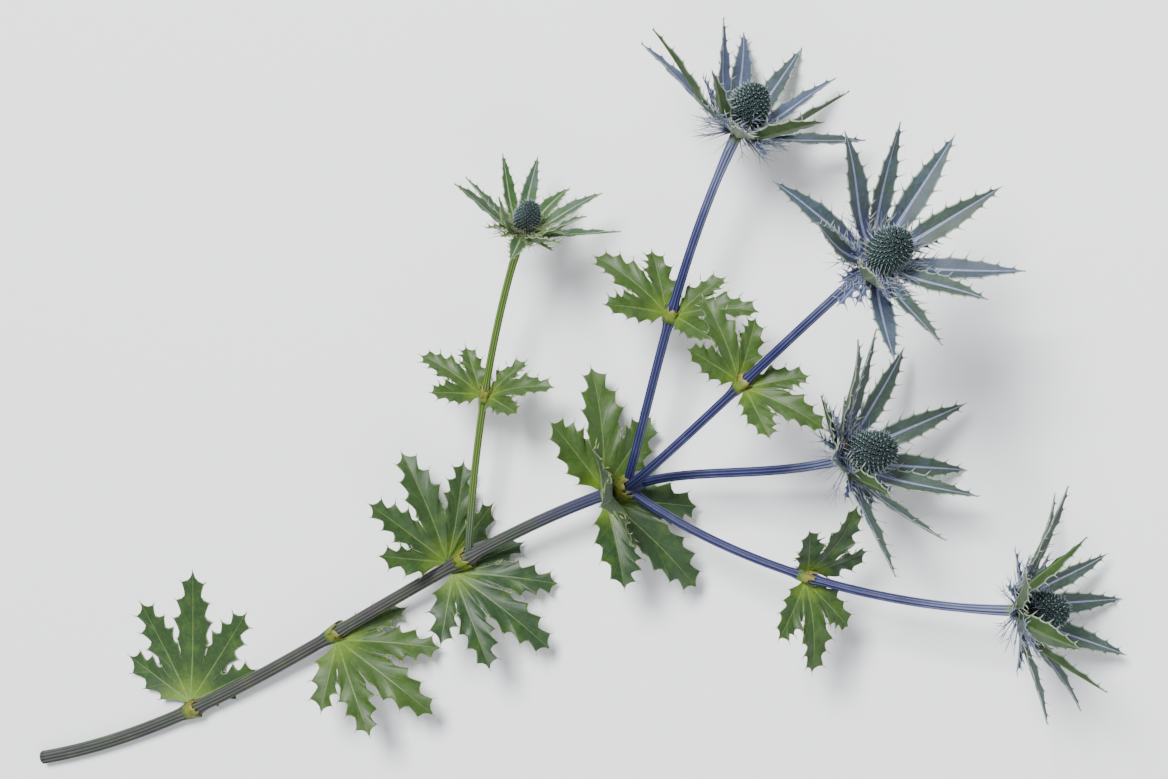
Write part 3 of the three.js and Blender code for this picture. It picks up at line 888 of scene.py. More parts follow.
@dataclass(frozen=True)
class LobeSide:
    """One side of a lobe: half of a toothed, pointed blade, from its rib to its edge.

    Its points are flat, with X along the whole blade's midrib. A share along runs from the root to
    the lobe's tip, and a share across from the lobe's rib to its edge.
    """

    form: BladeForm
    start: Vector
    tip: Vector
    sign: int
    width: float
    teeth: int
    tooth: float
    first_tooth: float = 1.0  # as a share of the others

    @property
    def across(self) -> Vector:
        """The direction from the rib to this side's edge."""
        return Vector((-self.tip.y, self.tip.x, 0.0)).normalized() * self.sign

    @property
    def spacings(self) -> float:
        """The lobe's length in spacings of its teeth."""
        return self.teeth + self.form.spare

    def rows(self) -> list[float]:
        """The shares along at which the blade has points: close at the teeth, wider between them."""
        rows = [(tooth + part) / self.spacings for tooth in range(self.teeth + 1) for part in self.form.parts]
        return [row for row in rows if row < self.form.last_row] + [1.0]

    def _tooth(self, number: int) -> float:
        """The length of a tooth, counted from 1 at the start."""
        length = self.tooth * (self.first_tooth if number == 1 else 1.0)
        return length if 1 <= number <= self.teeth else 0.0

    def edge(self, along: float) -> Vector:
        """Finds the edge, with its teeth and the hollows between them.

        Args:
            along: The share along.

        Returns:
            The flat point there.
        """
        form = self.form
        number = int(along * self.spacings)
        rest = along * self.spacings - number
        fall = max(0.0, 1.0 - rest / form.tooth_width)
        climb = max(0.0, 1.0 - (1.0 - rest) / (form.tooth_rise * form.tooth_width))
        out = self._tooth(number) * fall ** form.flanks[0]
        out += self._tooth(number + 1) * climb ** form.flanks[1]
        bulge = self.width * sin(pi * min(1.0, along**form.belly)) ** form.slimness + out
        drift = self.tip.normalized() * (form.tooth_drift * out)
        return self.start.lerp(self.tip, along) + self.across * bulge + drift

    def point(self, along: float, across: float) -> Vector:
        """The blade's point at two shares, with the height of its fold as Z."""
        flat = (self.tip * along).lerp(self.edge(along), across)
        return Vector((flat.x, flat.y, self.form.fold * abs(flat.dot(self.across))))


@dataclass
class Bed:
    """The bent surface that a flat blade is laid on, given by its midrib."""

    root: Vector
    forward: Vector
    over: Vector  # about the direction out of the blade's upper face
    length: float
    slope: Callable[[float], float]  # the midrib's rise in radians at a share of its length
    sway: float = 0.0  # how far the tip lies to the side
    twist: float = 0.0  # how far the tip is turned about the midrib, in radians
    steps: int = 40

    def __post_init__(self) -> None:
        """Makes the axes square to each other, and follows the midrib in short steps."""
        self.forward = self.forward.normalized()
        self.over = (self.over - self.forward * self.over.dot(self.forward)).normalized()
        angles = np.array([self.slope((step + 0.5) / self.steps) for step in range(self.steps)])
        step = self.length / self.steps
        self._reach = np.linspace(0.0, self.length, self.steps + 1)
        self._x, self._z = totals(step * np.cos(angles)), totals(step * np.sin(angles))

    def laid(self, point: Vector) -> Vector:
        """Lays a point of the flat blade on the bed.

        Args:
            point: The point, with its height above the midrib as Z.

        Returns:
            Where it comes to lie.
        """
        share = clamp(point.x / self.length)
        turn, angle = self.twist * share**1.5, self.slope(share)
        y = point.y * cos(turn) - point.z * sin(turn) + self.sway * share * share
        height = point.y * sin(turn) + point.z * cos(turn)
        before, after = min(0.0, point.x), max(0.0, point.x - self.length)
        x = float(np.interp(point.x, self._reach, self._x)) + (before + after) * cos(angle)
        z = float(np.interp(point.x, self._reach, self._z)) + after * sin(angle)
        ahead = self.forward * (x - height * sin(angle))
        aside = self.over.cross(self.forward) * y
        return self.root + ahead + self.over * (z + height * cos(angle)) + aside

    def lowest(self, sides: Sequence[LobeSide], place: Matrix, steps: int) -> float:
        """Finds how low a blade hangs on this bed.

        Args:
            sides: The blade's sides.
            place: The place of the bed's own frame.
            steps: In how many steps each side is looked at.

        Returns:
            The height of its lowest point above the surface.
        """
        shares = [step / steps for step in range(steps + 1)]
        spots = [side.point(*spot) for side in sides for spot in product(shares, (0.0, 1.0))]
        return min((place @ self.laid(spot - SKY * HALF_WALL)).z for spot in spots)


@dataclass
class Blade:
    """A thin, toothed blade of one or more lobes, laid on a bed."""

    form: BladeForm
    sides: Sequence[LobeSide]
    bed: Bed
    seed: int
    scale: float = 1.0  # of its midrib and spines
    own: Tissue = field(default_factory=Tissue)

    def grow(self, into: Tissue, place: Matrix, tint: float) -> None:
        """Adds the blade to a piece.

        Args:
            into: The piece's tissue.
            place: The place of the bed's own frame.
            tint: The blade's tint mark.
        """
        for side in self.sides:
            self._lay(side)
        self.own.weld()
        self.own.thicken(self._wall)
        for side in self.sides:
            self._add_spines(side)
        into.plant(self.own.kept(), place, tint)

    def _lay(self, side: LobeSide) -> None:
        """Lays the skin of one side of a lobe.

        Args:
            side: The side.
        """
        mesh, form, rows = self.own.mesh, self.form, side.rows()
        last = (len(rows) - 1, len(form.columns) - 1)
        made = bmesh.ops.create_grid(mesh, x_segments=last[0], y_segments=last[1], size=0.5)["verts"]
        run, edge, rib, vein = self.own.layers(Mark.RUN, Mark.SIDE, Mark.RIB, Mark.VEIN)
        for vert in made:
            along = rows[round((vert.co.x + 0.5) * last[0])]
            across = form.columns[round((vert.co.y + 0.5) * last[1])]
            point = side.point(along, across)
            vert[run], vert[edge] = point.xy.length / self.bed.length, across
            vert[rib] = abs(point.dot(side.across)) / (self.scale * part_way(*form.rib, along))
            vert[vein] = (along + form.vein * (1.0 - across)) * side.spacings
            wave = sin(along * side.spacings * pi + self.seed + side.sign)
            point.z += form.ruffle * across * across * sin(pi * along) * wave
            vert.co = self.bed.laid(point)
        if side.sign < 0:
            bmesh.ops.reverse_faces(mesh, faces=list({face for vert in made for face in vert.link_faces}))

    def _wall(self, run: float, side: float) -> float:
        """The thickness at two marks: least at the edge, greatest on the keel, which ends at the tip."""
        keel = self.form.keel * max(0.0, 1.0 - side / self.form.keel_width) * (1.0 - clamp(run))
        return part_way(*self.form.walls, side) + keel

    def _add_spines(self, side: LobeSide) -> None:
        """Adds the spines of one side's teeth, and the one at the lobe's tip.

        Args:
            side: The side.
        """
        form, bed, ahead = self.form, self.bed, side.tip.normalized()
        feet = [(number / side.spacings, form.feet[0]) for number in range(1, side.teeth + 1)]
        if side.sign > 0:
            feet.append((form.feet[1], 0.0))
        for number, (along, across) in enumerate(feet):
            foot = side.point(along, across)
            aim = (side.across + ahead * form.spine_lean).normalized() if across else ahead
            size = self.scale * form.spine_sizes.at(self.seed, 2 * number + side.sign)
            reach = aim * part_way(*form.spines, along) * size
            reach.z = reach.length * (form.fold + form.spine_rises.at(self.seed, number))
            start = bed.laid(foot) - bed.over * form.spine_sunk
            made = self.own.spike(start, bed.laid(foot + reach), self.scale * form.spine_radius)
            self.own.stamp(made, {Mark.RUN: foot.xy.length / bed.length, Mark.SIDE: 1.0, Mark.RIB: OFF_RIB})


# ---- stems


@dataclass(frozen=True)
class Joint:
    """A thicker place on a stem, where leaves or stalks leave it."""

    at: float
    swell: float
    half_length: float

    def closeness(self, share: float, length: float) -> float:
        """How near a share of a stem's length is: 1 in the joint's middle, 0 outside it."""
        return max(0.0, 1.0 - abs(share - self.at) * length / self.half_length)

    def swelling(self, share: float, length: float) -> float:
        """What it adds to the radius at a share of a stem's length."""
        return self.swell * sin(self.closeness(share, length) * pi / 2)


@dataclass
class Stem:
    """A ribbed stem along a path, with a papery sheath round each joint."""

    name: str
    path: Path
    radii: Pair
    joints: tuple[Joint, ...]
    finish: Finish
    slot: Slot
    seed: int
    ribs: int = 9
    points_per_rib: int = 6
    groove: float = 0.17  # depth of the grooves, as a share of the radius
    step: float = 3.0  # from each section to the next
    sheath_reach: Pair = (-3.6, 3.6)  # from the joint's middle, along the stem
    sheath_flare: Pair = (0.98, 1.24)  # its radius over the stem's
    sheath_rings: tuple[Pair, ...] = ((0.0, 0.0), (0.3, 0.25), (0.65, 0.5), (1.0, 1.0))
    sheath_corners: int = 30
    sheath_lumps: tuple[Pair, ...] = ((3.0, 0.08), (7.0, 0.05))  # how many, how high
    sheath_wall: float = 0.28
    sheath_rags: Spread = Spread(-2.2, 2.2)
    sheath_tints: Spread = Spread()

    def plain_radius(self, share: float) -> float:
        """The radius without its joints at a share of the length."""
        return part_way(*self.radii, share)

    def radius(self, share: float) -> float:
        """The radius over the ribs at a share of the length."""
        swellings = [joint.swelling(share, self.path.length) for joint in self.joints]
        return self.plain_radius(share) + max(swellings, default=0.0)

    def build(self) -> None:
        """Builds the stem, and its sheaths as a piece of their own."""
        tissue = Tissue()
        steps = round(self.path.length / self.step)
        tissue.sweep(self._section(), list(self.path.sections(steps, self.radius)))
        run, reach, near = tissue.layers(Mark.RUN, Mark.REACH, Mark.JOINT)
        for vert in tissue.mesh.verts:
            vert[reach] = vert[run] * self.path.length
            close = [joint.closeness(vert[run], self.path.length) for joint in self.joints]
            vert[near] = max(close, default=0.0)
        self.cut(tissue)
        tissue.face_out()
        dress(tissue, self.name, "ribs", self.finish, self.slot)
        if self.joints:
            sheaths = Tissue()
            for number, joint in enumerate(self.joints):
                self._add_sheath(sheaths, joint, number)
            dress(sheaths, self.name, "sheaths", SHEATH, self.slot)

    def cut(self, tissue: Tissue) -> None:
        """Shapes the stem's first end, which is left plain where another stem hides it."""

    def _section(self) -> list[Vector]:
        """Draws the ribbed outline.

        Returns:
            Its points, with 0 on each rib and 1 in each groove as Z.
        """
        count = self.ribs * self.points_per_rib
        angles = [tau * corner / count for corner in range(count)]
        grooves = [0.5 - 0.5 * cos(self.ribs * angle) for angle in angles]
        return [polar(angle, 1.0 - self.groove * groove, groove) for angle, groove in zip(angles, grooves)]

    def _add_sheath(self, sheaths: Tissue, joint: Joint, number: int) -> None:
        """Adds the ragged collar of papery scales round one joint.

        Args:
            sheaths: The tissue of all the sheaths.
            joint: The joint.
            number: Its place among the stem's joints.
        """
        own = Tissue()
        places = []
        for share, flare in self.sheath_rings:
            at = clamp(joint.at + part_way(*self.sheath_reach, share) / self.path.length)
            radius = self.radius(at) * part_way(*self.sheath_flare, flare)
            here = self.path.station(at)
            size = Matrix.Diagonal((radius, radius, 1.0, 1.0))
            places.append((share, placement(here.origin, here.along) @ size))
        ring = []
        lumps = list(zip(self.sheath_lumps, (self.seed, number)))
        for corner in range(self.sheath_corners):
            angle = tau * corner / self.sheath_corners
            lump = sum(high * sin(many * angle + turn) for (many, high), turn in lumps)
            ring.append(polar(angle, 1.0 + lump))
        own.sweep(ring, places)
        caps = [face for face in own.mesh.faces if len(face.verts) == self.sheath_corners]
        bmesh.ops.delete(own.mesh, geom=caps, context="FACES_ONLY")
        run = own.layers(Mark.RUN)[0]
        along = self.path.station(joint.at).along
        for index, vert in enumerate(vert for vert in own.mesh.verts if vert[run] == 1.0):
            vert.co += along * self.sheath_rags.at(self.seed + number, index)
        own.face_out()
        own.thicken(lambda run, side: self.sheath_wall)
        sheaths.plant(own.kept(), Matrix(), self.sheath_tints.at(self.seed, number))


@dataclass
class CutStem(Stem):
    """The main stem, whose first end is cut across and shows its pith."""

    closing: float = 5.0  # how much of its other end narrows among the flower stalks
    closed: float = 0.55  # what is left of its radius there
    # the cut end's rings, from the skin inwards: the share to which each is drawn in from the last,
    # towards the middle of the end, and how far it is then set back
    rings: tuple[Pair, ...] = ((0.88, 0.0), (0.97, 0.35), (0.8, 0.05), (0.45, 0.1))

    def radius(self, share: float) -> float:
        """The radius over the ribs at a share of the length."""
        left = (1.0 - share) * self.path.length / self.closing
        return super().radius(share) * part_way(self.closed, 1.0, min(1.0, left) ** 0.5)

    def cut(self, tissue: Tissue) -> None:
        """Sets the dried pith back in the cut end, in rings, and closes it with a fan.

        Args:
            tissue: The stem's tissue.
        """
        mesh = tissue.mesh
        run = tissue.layers(Mark.RUN)[0]
        cap = next(face for face in mesh.faces if len(face.verts) > 4 and face.verts[0][run] < 0.5)
        here = self.path.station(0.0)
        for number, (size, sunk) in enumerate(self.rings):
            cap = bmesh.ops.extrude_discrete_faces(mesh, faces=[cap])["faces"][0]
            for vert in cap.verts:
                vert.co = here.origin.lerp(vert.co, size) + here.along * sunk
            tissue.stamp(list(cap.verts), {Mark.UNDER: 1.0 if number else 0.0})
        bmesh.ops.poke(mesh, faces=[cap])


@dataclass
class FlowerStalk(Stem):
    """A flower stalk, which widens under its head."""

    widening: float = 0.12  # the share of its length over which it widens

    def plain_radius(self, share: float) -> float:
        """The radius without its joints at a share of the length."""
        return part_way(*self.radii, max(0.0, 1.0 - (1.0 - share) / self.widening))


# ---- heads


@dataclass(frozen=True)
class StalkPlan:
    """Where a flower stalk leaves the main stem, and where and how its head ends it."""

    number: int
    leaves_at: float
    side: float | None  # the one that ends the main stem has no side, and bears no leaves
    end: Vector
    facing: Vector
    size: float
    seed: int
    young: bool = False
    blueness: float = 0.4  # how far its bracts have turned blue

    @property
    def head_place(self) -> Matrix:
        """The head's own frame: its origin at the top of the stalk and +Z the way that it faces."""
        return placement(self.end, self.facing)


@dataclass
class HeadPart:
    """A part of a head, laid out in the head's own frame."""

    plan: StalkPlan
    ending: str = "bracts"
    finishes: tuple[Finish, Finish] = (BRACT, YOUNG_BRACT)  # grown and young
    node: str = "involucre"
    slot: Slot = Slot.BRACT
    wall: float = 0.0
    tissue: Tissue = field(default_factory=Tissue)

    def build(self) -> None:
        """Builds the part as one piece."""
        self.grow()
        node = f"{self.node}_{self.plan.number}"
        dress(self.tissue, node, self.ending, self.finishes[self.plan.young], self.slot, self.wall)

    def grow(self) -> None:
        """Fills the tissue, which each kind of part does in its own way."""


@dataclass
class Ruff(HeadPart):
    """The main bracts of a head: long, lance-shaped blades with spiny teeth."""

    wall: float = FLAT_WALL
    kind: BladeKind = BladeKind.BRACT
    count: int = 11
    teeth: int = 8
    length: float = 56.0
    half_width: float = 4.2
    broadening: float = 1.0  # 1 where a longer bract is also wider, and 0 where it isn't
    root_half_width: float = 1.3
    root: Pair = (4.2, 2.6)  # distance from the head's axis, and height above the stalk
    tiers: Row = (0.7, -0.7, 0.0)  # how much higher each bract is rooted, in turn
    openings: Row = (37.0, 66.0, 51.0)  # degrees from the head's axis, in turn
    tightest: float = 14.0  # how far it may close to stay above the surface
    closing: float = 0.25  # in what steps
    looks: int = 10  # at how many places along it the way to the surface is measured
    blue: float = 1.0  # how far its tint follows the head's blueness
    seed_step: int = 0
    lengths: Spread = Spread(0.84, 1.1)
    azimuths: Spread = Spread(-0.16, 0.16, 20)  # in spacings of the bracts
    arches: Spread = Spread(-0.15, 0.35, 40)
    tooth_sizes: Spread = Spread(0.75, 1.25, 60)
    wanders: Spread = Spread(-6.0, 6.0, 80)  # of the openings
    sways: Spread = Spread(-2.4, 2.4, 160)
    twists: Spread = Spread(-0.5, 0.5, 180)
    tints: Spread = Spread(-0.28, 0.28, 500)

    def grow(self) -> None:
        """Grows the ring of bracts."""
        for index in range(self.count):
            tint = clamp(self.blue * self.plan.blueness + self.tints.at(self.plan.seed, index))
            self._bract(index).grow(self.tissue, self.plan.head_place, tint)

    def _bract(self, index: int) -> Blade:
        """Shapes one bract, opened as far as it grows or as the surface below lets it.

        Args:
            index: Its place in the ring.

        Returns:
            The bract.
        """
        seed, size, form = self.plan.seed, self.plan.size, self.kind.value
        growth = self.lengths.at(seed, index)
        length, width = size * self.length * growth, size * self.half_width * growth**self.broadening
        sides = []
        for sign in (1, -1):
            start = Vector((0.0, sign * self.root_half_width, 0.0))
            tooth = size * form.tooth * self.tooth_sizes.at(seed + index, sign)
            sides.append(LobeSide(form, start, Vector((length, 0.0, 0.0)), sign, width, self.teeth, tooth))
        forward = polar((index + self.azimuths.at(seed, index)) * tau / self.count)
        height = self.root[1] + self.tiers[index % len(self.tiers)]
        root = forward * (size * self.root[0]) + SKY * (size * height)
        opening = self.openings[index % len(self.openings)] + self.wanders.at(seed, index)
        sway, twist = self.sways.at(seed, index), self.twists.at(seed, index)
        while True:
            slope = rising(radians(90.0 - opening), self.arches.at(seed, index))
            bed = Bed(root, forward, SKY, length, slope, sway, twist)
            if opening <= self.tightest or bed.lowest(sides, self.plan.head_place, self.looks) >= -TOUCH:
                return Blade(form, sides, bed, seed + index + self.seed_step, size)
            opening -= self.closing


def rising(raised: float, arch: float, first: float = 0.12, speed: int = 5) -> Callable[[float], float]:
    """The slope of a bract's midrib: nearly flat at first, soon raised, and arched over to its tip."""
    return lambda t: raised - (raised - first) * (1.0 - t) ** speed - arch * t * t


@dataclass
class CombRing(Ruff):
    """The small bracts below the cone, which are comb-toothed with long fine spines."""

    ending: str = "combs"
    finishes: tuple[Finish, Finish] = (COMB, YOUNG_COMB)
    kind: BladeKind = BladeKind.COMB
    count: int = 19
    teeth: int = 5
    length: float = 1.0  # the lengths are in millimetres here, and the wanders are the whole openings
    half_width: float = 1.0
    broadening: float = 0.0
    root_half_width: float = 0.7
    root: Pair = (4.6, 3.1)
    tiers: Row = (0.0,)
    openings: Row = (0.0,)
    tightest: float = 180.0  # it never closes
    blue: float = 0.0
    seed_step: int = 40
    lengths: Spread = Spread(15.0, 27.0, 640)
    azimuths: Spread = Spread(0.2, 0.8, 660)
    arches: Spread = Spread(-0.3, 0.4, 700)
    tooth_sizes: Spread = Spread(1.0, 1.0)
    wanders: Spread = Spread(48.0, 96.0, 680)
    sways: Spread = Spread(0.0, 0.0)
    twists: Spread = Spread(0.0, 0.0)
    tints: Spread = Spread(row=620)


class NeedleKind(Enum):
    """The shapes of the ruff's needles."""

    PLAIN = ()
    FORKED = ((0.5, 34.0, 0.42), (0.62, -31.0, 0.36))  # where each prong leaves, its angle, its length


@dataclass
class NeedleRing(HeadPart):
    """The fine, stiff needles all round the foot of a cone, many of them forked."""

    ending: str = "needles"
    finishes: tuple[Finish, Finish] = (NEEDLE, YOUNG_NEEDLE)
    needles: int = 96
    golden: float = 0.618034  # the turn from each needle to the next
    forked: tuple[int, int] = (3, 5)  # how many of how many are forked
    length: float = 21.0
    radius: float = 0.44
    bend: float = 0.9  # how far its point lies to the side
    corners: int = 5
    rings: int = 4
    taper: Pair = (0.93, 0.8)  # what the radius loses, and how soon
    prong: float = 0.62  # a prong's radius over the needle's
    seat: float = 3.4  # distance of their roots from the head's axis
    heights: Pair = (1.2, 4.6)
    height_span: float = 1.2  # radians of lean from the lowest root to the highest
    lean_sizes: Pair = (1.15, 0.8)  # of those that stand square to the axis, and that lean
    azimuths: Spread = Spread(0.0, 0.05, 720)
    leans: Spread = Spread(-30.0, 48.0, 780)  # degrees above square to the head's axis
    sizes: Spread = Spread(0.6, 1.0, 840)
    turns: Spread = Spread(0.0, tau, 900)
    tints: Spread = Spread(row=960)

    def grow(self) -> None:
        """Plants the needles all round."""
        plan, seed = self.plan, self.plan.seed
        kinds = {kind: self._shape(kind) for kind in NeedleKind}
        for index in range(self.needles):
            azimuth = (index * self.golden + self.azimuths.at(seed, index)) * tau
            lean = radians(self.leans.at(seed, index))
            aim = polar(azimuth, height=tan(lean)).normalized()
            foot = Vector((aim.x, aim.y, 0.0)) * (plan.size * self.seat)
            foot.z = plan.size * part_way(*self.heights, clamp(0.5 + lean / self.height_span))
            size = plan.size * self.sizes.at(seed, index) * part_way(*self.lean_sizes, clamp(abs(lean)))
            turn = Matrix.Rotation(self.turns.at(seed, index), 4, "Z")
            place = plan.head_place @ placement(foot, aim) @ turn @ Matrix.Scale(size, 4)
            kind = NeedleKind.FORKED if index % self.forked[1] < self.forked[0] else NeedleKind.PLAIN
            self.tissue.plant(kinds[kind], place, self.tints.at(seed, index))

    def _shape(self, kind: NeedleKind) -> Mesh:
        """Shapes a needle, from the origin along +Z.

        Args:
            kind: Its kind.

        Returns:
            The kept mesh.
        """
        own = Tissue()
        self._add_horn(own, Vector(), Vector((self.bend, 0.0, self.length)), SKY, self.radius, 0.0)
        for at, angle, share in kind.value:
            foot = Vector((self.bend * at * at, 0.0, self.length * at))
            aim = Matrix.Rotation(radians(angle), 3, "Y") @ SKY
            self._add_horn(own, foot, foot + aim * self.length * share, aim, self.prong * self.radius, at)
        return own.kept()

    def _add_horn(
        self, own: Tissue, foot: Vector, point: Vector, aim: Vector, radius: float, from_run: float
    ) -> None:
        """Adds a tapered, slightly bent spine.

        Args:
            own: The needle's tissue.
            foot: The middle of its foot.
            point: Its point.
            aim: The direction in which it leaves its foot.
            radius: The foot's radius.
            from_run: The run mark at its foot.
        """
        loss, soon = self.taper
        path = Path(foot, foot + aim * (point - foot).length / 3, point - (point - foot) / 3, point)
        section = [polar(tau * corner / self.corners) for corner in range(self.corners)]
        places = path.sections(self.rings, lambda share: radius * (1.0 - loss * share**soon))
        own.sweep(section, [(part_way(from_run, 1.0, share), place) for share, place in places])


@dataclass
class Seat(HeadPart):
    """The fleshy seat of a head, from which its bracts grow."""

    ending: str = "seat"
    finishes: tuple[Finish, Finish] = (SEAT, YOUNG_SEAT)
    radius: float = 6.4
    height: float = 4.8
    sides: int = 28
    profile: tuple[Pair, ...] = (
        (0.0, 0.0), (0.42, 0.0), (0.5, 0.08), (0.66, 0.2), (0.84, 0.36), (0.97, 0.56),
        (1.0, 0.7), (0.94, 0.86), (0.8, 0.97), (0.5, 1.0), (0.0, 1.0),
    )  # shares of the radius and of the height

    def grow(self) -> None:
        """Turns the profile round the head's axis."""
        own, wide, high = Tissue(), self.plan.size * self.radius, self.plan.size * self.height
        own.turn([(out * wide, up * high, up) for out, up in self.profile], self.sides)
        self.tissue.plant(own.kept(), self.plan.head_place)


@dataclass
class FloretCone(HeadPart):
    """The cone of tiny closed florets, each with a pointed bractlet."""

    ending: str = "florets"
    finishes: tuple[Finish, Finish] = (FLORET_WITH_PAINTED_SHADE, FLORET_WITH_PAINTED_SHADE)
    node: str = "flower_cone"
    slot: Slot = Slot.CONE
    gap: float = 0.3  # between the seat and the core
    radius: float = 7.4
    height: float = 19.0
    widest: float = 0.4  # the share of the height at which it is widest
    spread: float = 0.62  # how far above that it closes, as a share of the height
    core: tuple[int, int, float, float] = (14, 24, 0.6, 0.5)  # its steps and sides, depth inside, tip
    lean: float = 0.3  # how much further up than square to the surface a floret points, in radians
    florets: int = 300
    sunk: float = 0.7  # how deep their feet are
    probe: float = 0.01  # the share of the height over which its slope is measured, both ways
    growth: Pair = (1.0, 0.9)  # of the lowest and the topmost floret
    cup: tuple[float, float, float] = (0.66, 0.98, 1.7)  # radius at its foot and rim, and depth
    lid: Pair = (0.28, -0.5)  # how far in from the rim it is, and how high above it
    teeth: int = 5
    tooth: tuple[float, float, float, float] = (-0.1, 0.16, 0.9, 0.18)  # foot out, point out and up, radius
    bractlet: tuple[Pair, ...] = ((0.86, 0.3), (1.4, 3.4))  # its foot and point, out and up
    bractlet_radius: float = 0.36
    sizes: Spread = Spread(0.88, 1.14, 1000)
    tints: Spread = Spread(row=1200)

    def grow(self) -> None:
        """Plants the florets on their core."""
        plan, core = self.plan, Tissue()
        steps, sides, depth, tip = self.core
        shares = [step / steps for step in range(steps + 1)]
        profile = [(self._radius_at(share) - depth, self.height * share, 0.0) for share in shares]
        profile = [(0.0, 0.0, 0.0), *profile, (0.0, self.height + tip, 0.0)]
        base = self._height_at(0.0)
        core.turn([(plan.size * out, base + plan.size * up, run) for out, up, run in profile], sides)
        # the core wears the floret finish's near-black ground: painted shade between the florets
        self.tissue.plant(core.kept(), plan.head_place)
        floret = self._floret()
        turn = pi * (3.0 - sqrt(5.0))  # the golden angle
        for index, share in enumerate(self._even_shares()):
            size = plan.size * part_way(*self.growth, share**3) * self.sizes.at(plan.seed, index)
            place = plan.head_place @ self._on_surface(share, index * turn) @ Matrix.Scale(size, 4)
            self.tissue.plant(floret, place, self.tints.at(plan.seed, index))

    def _radius_at(self, share: float) -> float:
        """The cone's radius at a share of its height."""
        return self.radius * sqrt(max(0.0, 1.0 - ((share - self.widest) / self.spread) ** 2))

    def _height_at(self, share: float) -> float:
        """The height above the stalk at a share of the cone's."""
        return self.plan.size * (Seat.height + self.height * share) + self.gap

    def _even_shares(self) -> list[float]:
        """Spaces the florets so that each has the same area.

        Returns:
            The share of the height of each, from the foot up.
        """
        heights = np.linspace(0.0, self.widest + self.spread, STEPS + 1)
        radii = np.array([self._radius_at(height) for height in heights])
        slant = np.hypot(np.diff(radii), np.diff(heights) * self.height)
        area = totals(slant * (radii[1:] + radii[:-1]) / 2)
        wanted = (np.arange(self.florets) + 0.5) / self.florets * area[-1]
        return [float(height) for height in np.interp(wanted, area, heights)]

    def _on_surface(self, share: float, azimuth: float) -> Matrix:
        """Finds a floret's place.

        Args:
            share: The share of the cone's height.
            azimuth: The angle round its axis, in radians.

        Returns:
            The place, with +Z out of the cone and +X down along it.
        """
        narrowing = self._radius_at(share - self.probe) - self._radius_at(share + self.probe)
        tilt = min(pi / 2, atan2(narrowing, 2.0 * self.probe * self.height) + self.lean)
        out = polar(azimuth)
        z = out * cos(tilt) + SKY * sin(tilt)
        x = out * sin(tilt) - SKY * cos(tilt)
        origin = out * (self.plan.size * self._radius_at(share)) + SKY * self._height_at(share)
        turned = Matrix((x, z.cross(x), z)).transposed().to_4x4()
        return Matrix.Translation(origin - z * self.sunk) @ turned

    def _floret(self) -> Mesh:
        """Shapes a closed floret: a cup with small teeth, and a bractlet that stands below it.

        Returns:
            The kept mesh.
        """
        own = Tissue()
        foot, rim, depth = self.cup
        size = {"segments": self.teeth, "radius1": foot, "radius2": rim, "depth": depth}
        place = Matrix.Translation((0.0, 0.0, depth / 2))
        cup = bmesh.ops.create_cone(own.mesh, cap_ends=True, matrix=place, **size)["verts"]
        corners = [vert for vert in cup if vert.co.z > depth / 2]
        lids = [face for face in own.mesh.faces if all(vert in corners for vert in face.verts)]
        bmesh.ops.inset_region(own.mesh, faces=lids, thickness=self.lid[0], depth=self.lid[1])
        run = own.layers(Mark.RUN)[0]
        # the run mark is 0 at the sunk foot, which the floret finish paints near black as shade, and 1 at the
        # rim
        for vert in own.mesh.verts:
            vert[run] = clamp(vert.co.z / depth)
        inner, outer, up, radius = self.tooth
        for corner in [vert.co.copy() for vert in corners]:
            out = Vector((corner.x, corner.y, 0.0)).normalized()
            made = own.spike(corner + out * inner, corner + out * outer + SKY * up, radius, 3)
            own.stamp(made, {Mark.RUN: 1.0})
        own.spike(*(Vector((out, 0.0, up)) for out, up in self.bractlet), self.bractlet_radius)
        return own.kept()


@dataclass
class ScaleRing(HeadPart):
    """The papery scales round a cone's foot."""

    ending: str = "scales"
    finishes: tuple[Finish, Finish] = (SCALE, SCALE)
    node: str = "flower_cone"
    slot: Slot = Slot.CONE
    scales: int = 22
    root: Pair = (5.6, 0.1)  # distance from the axis, and height above the seat
    ends: tuple[Pair, ...] = ((0.0, -0.8), (0.5, 4.2))  # a scale's foot and point
    radius: float = 0.75
    azimuths: Spread = Spread(-0.3, 0.3, 1400)
    leans: Spread = Spread(0.15, 0.9, 1430)  # how far up they point, as a share of out
    sizes: Spread = Spread(0.75, 1.15, 1460)
    tints: Spread = Spread(row=1490)

    def grow(self) -> None:
        """Plants the ring of scales."""
        plan, seed, own = self.plan, self.plan.seed, Tissue()
        own.spike(*(Vector((out, 0.0, up)) for out, up in self.ends), self.radius)
        scale = own.kept()
        for index in range(self.scales):
            out = polar(tau * (index + self.azimuths.at(seed, index)) / self.scales)
            foot = out * (plan.size * self.root[0]) + SKY * (plan.size * (Seat.height + self.root[1]))
            size = plan.size * self.sizes.at(seed, index)
            place = placement(foot, out + SKY * self.leans.at(seed, index)) @ Matrix.Scale(size, 4)
            self.tissue.plant(scale, plan.head_place @ place, self.tints.at(seed, index))


# ---- leaves


@dataclass(frozen=True)
class Lobe:
    """A lobe of a leaf, whose lengths are shares of the leaf's size."""

    degrees: float
    length: float
    half_width: float
    teeth: int = 4


class Division(Enum):
    """The lobes of a leaf, and how far from its root the notch after each of them is."""

    THREE = ((Lobe(-38.0, 0.7, 0.1), Lobe(0.0, 1.0, 0.13), Lobe(38.0, 0.7, 0.1)), (0.34, 0.34))
    FIVE = (
        (
            Lobe(-60.0, 0.6, 0.07, 3),
            Lobe(-31.0, 0.84, 0.09),
            Lobe(0.0, 1.0, 0.11),
            Lobe(31.0, 0.84, 0.09),
            Lobe(60.0, 0.6, 0.07, 3),
        ),
        (0.24, 0.34, 0.34, 0.24),
    )


